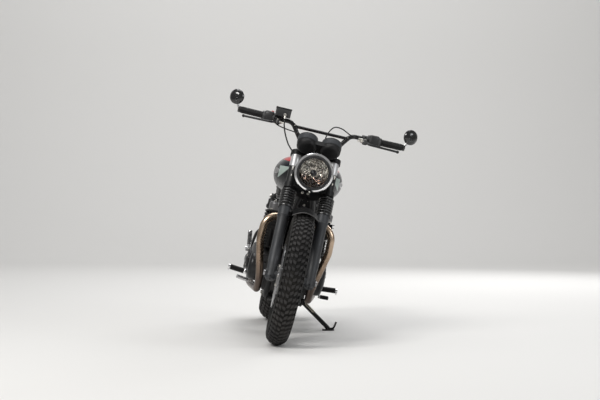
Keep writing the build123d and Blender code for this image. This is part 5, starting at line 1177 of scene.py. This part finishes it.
def along_chain(index):
    distance = travel[-1] * (index % link_count) / link_count
    low = bisect_right(travel, distance) - 1
    share = (distance - travel[low]) / (travel[low + 1] - travel[low])
    return pitch_line[low].lerp(pitch_line[(low + 1) % len(pitch_line)], share)


half_plate = 0.0064
for k in range(link_count):
    start, end = along_chain(k), along_chain(k + 1)
    middle = (start + end) / 2
    half_long = (end - start).length / 2
    end_cap = [(half_long + half_plate * cos(radians(a)), half_plate * sin(radians(a)))
               for a in range(-100, 101, 25)]
    waist = half_plate * 0.74
    outline = end_cap + [(0, waist)] + [(-x, y) for x, y in reversed(end_cap)] + [(0, -waist)]
    outer = 0.0068 if k % 2 else 0.005
    for side in SIDES:
        base = (CHAIN_X + side * outer, middle.x, middle.y)
        run = (0, end.x - start.x, end.y - start.y)
        links.add(*prism(outline, 0.0016, 0.0003), aim(base, (side, 0, 0), run), 0 if k % 2 else 1)
    place = aim((CHAIN_X, start.x, start.y), (1, 0, 0))
    links.turned([(0, -4.7), (5.1, -4.7), (5.1, 4.7), (0, 4.7)], 12, place, 1)
    links.turned([(0, -8.5), (2.2, -8.5), (2.6, -7.8), (2.6, 7.8), (2.2, 8.5), (0, 8.5)], 10, place)
links.piece("drive_chain", [STEEL, CHAIN_STEEL], "root", "chain_steel", replaces=["chain"])

# Footrests, pedals and stand: rubbers, end knobs and the stand's spring

pads = Shape()
knobs = Shape()


def sleeve_on(start, end, first, last, radius, ribs, material_slot=0):
    run = (end - start).normalized()
    profile = [(radius * 0.86, first)]
    step = (last - first) / ribs
    for k in range(ribs):
        z = first + step * k
        profile += [(radius * r, z + step * s) for r, s in ((0.9, 0.08), (1, 0.22), (1, 0.72), (0.9, 0.86))]
    profile += [(radius * 0.86, last)]
    pads.add(*lathe(profile, 28), aim(start, run), material_slot)


for side in SIDES:
    start, end = Vector((side * 0.2, 0.866, 0.268)), Vector((side * 0.3, 0.862, 0.277))
    sleeve_on(start, end, 0.014, 0.09, 0.0146, 12)
    run = (end - start).normalized()
    knobs.turned([(13.1, 0), (14.4, 1), (14.4, 6.5), (12.5, 8.5), (0, 9)], 28, aim(start + run * 0.0915, run))
    knobs.turned([(3.6, 0), (3.6, 17), (2.2, 21), (0, 21.5)], 14,
                 aim(start + run * 0.094, (side * 0.12, 0, -1)))
    knobs.turned([(14.8, -1), (15.5, 0), (15.5, 9), (14.8, 10)], 28, aim(start + run * 0.001, run), closed=True)
    knobs.nut(0.0075, start + Vector((side * 0.006, 0, 0.0152)), UP)
    start, end = Vector((side * 0.212, 1.149, 0.386)), Vector((side * 0.226, 1.149, 0.483))
    run = (end - start).normalized()
    knobs.turned([(11.1, 88), (12.2, 89), (12.2, 94), (10.8, 96.8), (0, 97.2)], 24, aim(start, run))
    sleeve_on(start, end, 0.022, 0.087, 0.0121, 9)
sleeve_on(Vector((0.19, 0.64, 0.238)), Vector((0.246, 0.638, 0.24)), 0.012, 0.0535, 0.0108, 7)
sleeve_on(Vector((-0.183, 0.7, 0.234)), Vector((-0.246, 0.694, 0.244)), 0.012, 0.06, 0.0104, 12, 1)
pads.piece("footrest_rubbers", [RUBBER, ALLOY], "root", "rubber", 30)
knobs.piece("footrest_knobs", CHROME, "root", "chrome")

stand_trim = Shape()
pivot = Vector((0.124, 0.805, 0.184))
SPRING_HOLD = Vector((0.004, -0.018, 0.006))
COILS, COIL_POINTS = 15, 14
foot = Vector((0.292, 0.757, (0.008 - SHIFT.z + 0.292 * sin(LEAN)) / cos(LEAN)))
run = (foot - pivot).normalized()
place = aim(pivot + run * 0.02 + SPRING_HOLD, run)
coil_path = []
for k in range(COILS * COIL_POINTS + 1):
    a = 2 * pi * k / COIL_POINTS
    coil_path.append(place @ Vector((0.0062 * cos(a), 0.0062 * sin(a), 0.062 * k / (COILS * COIL_POINTS))))
stand_trim.add(*tube(coil_path, 0.0013, 8))
for z, length in ((0.015, 0.01), (0.08, 0.014)):
    ends = [pivot + run * z + SPRING_HOLD, pivot + run * (z + length) + SPRING_HOLD * 0.45]
    stand_trim.add(*tube(ends, 0.0014, 8))
stand_trim.piece("stand_spring", SPRING_PALE, "side_stand", "steel", 50)

# Tail lamp, side panels, tank plate, mudguard lips, callipers and frame details

tail = Shape()
lens_start = Vector((0, 1.5728, RAIL_Z + 0.014))
profile = [(0.0342, 0.03), (0.0342, 0.04)]
for k in range(6):
    r = 0.032 - 0.005 * k
    profile += [(r, 0.0505 + 0.0018 * k), (r - 0.0012, 0.0512 + 0.0018 * k)]
profile += [(0, 0.0612)]
tail.add(*lathe(profile, 56), aim(lens_start, (0, 1, 0)), 0)
tail.turned([(33.8, 0), (34.8, 1), (34.8, 28), (35.6, 29), (35.6, 33), (34.5, 34)], 56,
            aim(lens_start, (0, 1, 0)), 1)
tail.piece("tail_lamp_lens", [RED_LENS, PLASTIC], "root", "red_lens", replaces=["tail_lamp"])

PANEL_EDGE = ((0.83, 0.53), (0.817, 0.64), (0.822, 0.672), (0.96, 0.672), (0.938, 0.604), (0.868, 0.533))
panels = Shape()
panel_bolts = Shape()
for side in SIDES:
    for y, z in ((0.822, 0.655), (0.955, 0.66), (0.885, 0.545)):
        panel_bolts.turned([(7.8, -0.4), (7.8, 1.2), (5.5, 2), (3.5, 2), (3.5, 0.8), (0, 0.8)], 20,
                           aim((side * 0.1, y, z), (side, 0, 0)))
    for k in range(4):
        z = 0.596 + 0.014 * k
        panels.box((0.0028, 0.074 - 0.004 * k, 0.0048), 0.0013, 2, at(side * 0.1004, 0.878, z))
    path = smooth_path([(side * 0.1002, y, z) for y, z in PANEL_EDGE], 5)
    panels.add(*tube(path, 0.0011, 6))
panels.piece("side_panel_ribs", BLACK_PAINT, "root", "black_plastic")
panel_bolts.piece("side_panel_bolts", ZINC, "root", "steel")

PLATE_LEVELS = ((1.0, -0.0004), (1.0, 0.0022), (0.93, 0.0034), (0.82, 0.0036), (0.76, 0.0026), (0.4, 0.0027))
PLATE_POINTS = 40
plate = Shape()
for side in SIDES:
    verts = []
    for share, lift in PLATE_LEVELS:
        for y, z in circle(share, PLATE_POINTS):
            spot = meet(tank_tree, (side * 0.35, 0.574 + 0.05 * y, 0.826 + 0.0145 * z), (-side, 0, 0))
            verts.append(spot + Vector((side * lift, 0, 0)))
    faces = quads(len(PLATE_LEVELS), PLATE_POINTS)
    faces.append(tuple(range(len(verts) - PLATE_POINTS, len(verts))))
    plate.add(verts, [face[::-1] for face in faces] if side < 0 else faces)
plate.piece("tank_side_plates", STEEL, "root", "bright_alloy")

cap_trim = Shape()
cap_trim.add(*lathe([(0.0352, -0.002), (0.0362, 0), (0.0362, 0.003), (0.0345, 0.0042)], 56),
             at(0, 0.56, 0.9485))
for x, y in circle(0.0275, 6):
    cap_trim.add(*cap_bolt(0.0022), at(x, 0.56 + y, 0.9612))
lock = [(0.011, 0), (0.011, 0.0012), (0.0095, 0.002), (0.003, 0.002), (0.0028, 0.0008), (0, 0.0008)]
cap_trim.add(*lathe(lock, 28), at(0, 0.56, 0.9618))
cap_trim.piece("filler_cap_trim", ALLOY, "root", "bright_alloy")

guard_trim = Shape()
for degrees in (-62, 50):
    guard_edge(guard_trim, REAR_AXLE, 0.084, 0.366, 0.024, degrees)
for side in SIDES:
    path = [wheel_spot(REAR_AXLE, side * 0.0832, 0.366 - 0.024, radians(-62 + 112 * k / 40)) for k in range(41)]
    guard_trim.add(*tube(path, 0.0022, 8))
guard_trim.piece("rear_mudguard_edge", BLACK_PAINT, "root", "guard_black", 50)

brake_bolts = Shape()
for side, dx in ((-1, -0.027), (1, 0.025)):
    for ds in (-0.032, 0.032):
        spot = fork_spot(-0.06 + dx, FORK_BACK + 0.06, AXLE_S + 0.112 + ds)
        brake_bolts.nut(0.0068, spot, (side, 0, 0))
for ds in (-0.016, 0.016):
    spot = fork_spot(-0.086, FORK_BACK + 0.06, AXLE_S + 0.112 + ds)
    brake_bolts.turned([(13.5, 0), (13.5, 1.6), (11.8, 2.6), (4.5, 2.6), (4.5, 1), (0, 1)], 28,
                       aim(spot, (-1, 0, 0)))
brake_bolts.piece("front_brake_bolts", ZINC, "steer", "steel")

hub_nuts = Shape()
for side in SIDES:
    for x, y, z, radius in ((0.1285, 1.45, REAR_AXLE.z, 0.0145), (0.1285, 0.905, 0.33, 0.0125),
                            (0.0985, 0.56, 0.19, 0.0085), (0.0985, 0.74, 0.19, 0.0085)):
        hub_nuts.nut(radius, (side * x, y, z), (side, 0, 0))
hub_nuts.piece("frame_nuts", ZINC, "root", "steel")

beads = Shape()


def weld(centre, axis, radius):
    """Ring of overlapping beads."""
    path, sizes = [], []
    for k in range(60):
        a, r = 2 * pi * k / 60, radius + 0.0012 * sin(k * 1.9)
        path.append(aim(centre, axis) @ Vector((r * cos(a), r * sin(a), 0.0012 * cos(k * 2.3))))
        sizes.append(0.0026 + 0.0007 * sin(k * 2.1))
    beads.add(*tube(path, sizes, 7, True))


for side in SIDES:
    weld((side * 0.026, 0.308, 0.745), (side * 0.2, 0.36, -0.9), 0.0142)
    weld((side * 0.062, 0.905, 0.682), UP, 0.0145)
    weld((side * 0.084, 0.47, 0.19), (0, 1, 0.02), 0.0148)
    weld((side * 0.07, 0.47, 0.19), (1, 0, 0), 0.0134)
    weld((side * 0.066, 0.93, 0.532), (side * 0.18, 0.95, 0.6), 0.0118)
    weld((side * 0.108, 1.178, 0.676), (side * 0.18, 0.95, 0.6), 0.0118)
weld((0, 0.345, 0.822), (0, 1, -0.03), 0.0215)
beads.piece("frame_weld_beads", FRAME_BLACK, "root", "black_frame", 60)

yoke_front = Shape()
for side in SIDES:
    spot = fork_spot(side * 0.03, FORK_BACK - 0.0275, 0.814)
    yoke_front.nut(0.0068, spot, FORK_AHEAD)
spot = fork_spot(0, FORK_BACK - 0.03, 0.806)
yoke_front.box((0.034, 0.003, 0.018), 0.0012, 2, aim(spot, FORK_UP))
yoke_front.piece("lower_yoke_front_bolts", ZINC, "steer", "steel")

loom = Shape()
for radius, path in ((0.0064, [(0.026, 0.296, 0.905), (0.034, 0.33, 0.86), (0.044, 0.352, 0.79),
                               (0.05, 0.372, 0.7), (0.072, 0.392, 0.62), (0.076, 0.432, 0.56)]),
                     (0.0052, [(-0.03, 0.3, 0.9), (-0.036, 0.338, 0.85), (-0.04, 0.358, 0.78),
                               (-0.046, 0.378, 0.69), (-0.05, 0.41, 0.64), (-0.046, 0.452, 0.612)])):
    curve = smooth_path(path, 7)
    loom.add(*tube(curve, radius, 14))
    clip = [(radius + 0.0002, -0.0018), (radius + 0.0011, -0.0015), (radius + 0.0011, 0.0015),
            (radius + 0.0002, 0.0018)]
    for index in (6, 16, 26):
        loom.add(*lathe(clip, 20, True), aim(curve[index], curve[index + 1] - curve[index - 1]))
loom.piece("frame_wiring", CABLE, "root", "cable_black", 45)


# Horn, ignition coils, fin dampers and the tank's rear bracket

horn = Shape()
horn_metal = Shape()
place = aim((0, 0.352, 0.681), (0, -1, 0.12))
horn.turned([(10, -26), (17, -24), (20, -10), (29.5, -8), (30.8, -5), (30.8, 1), (29.5, 3), (26, 2.2),
             (24, 4.2), (19, 3.4), (16.5, 5.2), (12, 4.6), (9.5, 6.2), (0, 6.2)], 48, place)
horn_metal.add(*hex_nut(0.0052), place @ at(0, 0, 0.0062))
for x, y in circle(0.0275, 6):
    horn_metal.add(*cap_bolt(0.0019), place @ at(x, y, 0.0028))
horn.add(*tube([(0, 0.372, 0.684), (0, 0.376, 0.715), (0, 0.352, 0.748), (0, 0.336, 0.762)], 0.006, 10,
               flat=0.4))
horn.piece("horn", COVER_BLACK, "root", "black_plastic")

coils = Shape()
for side in SIDES:
    place = aim((side * 0.012, 0.452, 0.714), (side, 0, 0))
    coils.turned([(0, 0), (22.5, 0), (23.5, 2), (23.5, 40), (22.2, 43), (12, 44), (10, 60), (7.5, 64), (0, 64)],
                 32, place)
    coils.turned([(23.5, 12), (24.8, 12.5), (24.8, 23.5), (23.5, 24)], 32, place, 1, closed=True)
    curve = smooth_path([(side * 0.072, 0.452, 0.714), (side * 0.086, 0.47, 0.712), (side * 0.092, 0.52, 0.706),
                         (side * 0.078, 0.56, 0.697)], 7)
    coils.add(*tube(curve, 0.0036, 10))
coils.box((0.03, 0.006, 0.074), 0.002, 2, at(0, 0.47, 0.752), 1)
coils.piece("ignition_coils", [PLASTIC, FRAME_BLACK], "root", "black_plastic")

bracket = Shape()
bracket.box((0.046, 0.004, 0.024), 0.0016, 2, FORK @ at(-0.014, FORK_BACK - 0.026, 0.786))
bracket.piece("hose_bracket", FRAME_BLACK, "steer", "black_frame")

bracket_bolts = Shape()
for dx in (-0.029, -0.0025):
    bracket_bolts.nut(0.0055, fork_spot(dx, FORK_BACK - 0.0285, 0.783), FORK_AHEAD)
bracket_bolts.piece("hose_bracket_bolts", ZINC, "steer", "steel")
horn_metal.piece("horn_bolts", ZINC, "root", "steel")

dampers = Shape()
for side in SIDES:
    for x, y, low, high in ((0.15, 0.5, 0.436, 0.53), (0.15, 0.62, 0.436, 0.53), (0.166, 0.52, 0.542, 0.618),
                            (0.166, 0.606, 0.542, 0.618), (0.128, 0.47, 0.438, 0.528)):
        dampers.box((0.014, 0.014, high - low), 0.003, 2, at(side * x, y, (low + high) / 2))
dampers.piece("fin_dampers", RUBBER, "root", "rubber")

tank_end = Shape()
tank_end.box((0.074, 0.006, 0.088), 0.0028, 3, at(0, 0.9035, 0.812))
tank_end.box((0.044, 0.03, 0.008), 0.002, 2, at(0, 0.912, 0.776))
for x in (-0.012, 0.012):
    tank_end.nut(0.006, (x, 0.912, 0.78), UP, 1)
tank_end.piece("tank_rear_bracket", [FRAME_BLACK, ZINC], "root", "black_frame")


# Fork gaiters with round pleats

gaiters = Shape()
gaiter_low, gaiter_high = 0.6955, 0.7995
for side in SIDES:
    profile = [(0.0305, gaiter_low), (0.0352, gaiter_low), (0.0358, gaiter_low + 0.002),
               (0.0358, gaiter_low + 0.01), (0.0345, gaiter_low + 0.013)]
    start, end, pleats = gaiter_low + 0.014, gaiter_high - 0.009, 6
    step = (end - start) / pleats
    for k in range(pleats):
        low = start + step * k
        for j in range(9):
            a = pi * j / 8
            profile.append((0.03 + 0.0088 * sin(a) ** 0.75, low + step * (0.5 - 0.44 * cos(a))))
    profile += [(0.0285, end + 0.001), (0.0285, gaiter_high - 0.001), (0.0275, gaiter_high),
                (0.0245, gaiter_high)]
    gaiters.add(*lathe(profile, 64), aim(fork_spot(side * STANCHION_X, FORK_BACK, 0), FORK_UP))
gaiters.piece("ribbed_gaiters", GAITER_RUBBER, "steer", "rubber", 50, ["fork_gaiters"])


# Camera, floor and light

camera_data = bpy.data.cameras.new("camera")
camera = bpy.data.objects.new("camera", camera_data)
bpy.context.scene.collection.objects.link(camera)
camera_data.sensor_width = 36.0
camera_data.lens = 86.4
camera_data.clip_end = 200.0
camera.location = (SHIFT.x - 0.143, SHIFT.y - 6.85, 0.69)
camera.rotation_mode = "QUATERNION"
camera.rotation_quaternion = Vector((0.0386, 0.9993, 0)).to_track_quat("-Z", "Y")
bpy.context.scene.camera = camera


def stage_material(name, color, rough):
    """Plain matt floor and wall."""
    mat = bpy.data.materials.new(name)
    mat.use_nodes = True
    bsdf = mat.node_tree.nodes["Principled BSDF"]
    bsdf.inputs["Base Color"].default_value = (*color, 1)
    bsdf.inputs["Roughness"].default_value = rough
    return mat


def backdrop():
    """Floor that turns up into a wall well behind the machine."""
    half, front, back, top, radius = 16.0, -14.0, 10.5, 10.0, 2.6
    profile = [(front, 0.0), (back - radius, 0.0)]
    for step in range(1, 13):
        turn = step / 12 * pi / 2
        profile.append((back - radius + radius * sin(turn), radius - radius * cos(turn)))
    profile.append((back, top))
    verts = [(x, y, z) for y, z in profile for x in (-half, half)]
    faces = [(2 * k, 2 * k + 1, 2 * k + 3, 2 * k + 2) for k in range(len(profile) - 1)]
    mesh = bpy.data.meshes.new("floor")
    mesh.from_pydata(verts, [], faces)
    mesh.shade_smooth()
    mesh.materials.append(stage_material("pale_floor", (0.74, 0.735, 0.725), 0.85))
    obj = bpy.data.objects.new("floor", mesh)
    bpy.context.scene.collection.objects.link(obj)
    obj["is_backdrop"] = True


backdrop()


def area_light(name, place, target, size, power, color=(1, 1, 1)):
    data = bpy.data.lights.new(name, "AREA")
    data.shape = "RECTANGLE"
    data.size, data.size_y = size
    data.energy = power
    data.color = color
    obj = bpy.data.objects.new(name, data)
    obj.location = place
    obj.rotation_mode = "QUATERNION"
    obj.rotation_quaternion = (Vector(target) - Vector(place)).to_track_quat("-Z", "Y")
    bpy.context.scene.collection.objects.link(obj)


area_light("key", (-3.2, -4.2, 4.6), (0, 0, 0.6), (2.6, 1.8), 230, (1.0, 0.985, 0.96))
area_light("fill", (4.2, -3.6, 2.6), (0, 0, 0.6), (1.8, 2.2), 60, (0.95, 0.975, 1.0))
area_light("top", (0.2, 0.8, 5.0), (0, 0, 0.5), (3.5, 3.0), 120)
area_light("wall", (0, 4.8, 6.6), (0, 10.5, 2.0), (8.0, 1.4), 270)
area_light("back", (2.6, 5.2, 3.0), (0, 0.4, 0.7), (2.4, 1.6), 90)

world = bpy.data.worlds.new("world")
bpy.context.scene.world = world
world.use_nodes = True
background = world.node_tree.nodes["Background"]
background.inputs["Color"].default_value = (0.93, 0.925, 0.91, 1)
background.inputs["Strength"].default_value = 0.3
bpy.context.scene.view_settings.view_transform = "Standard"

low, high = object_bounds()
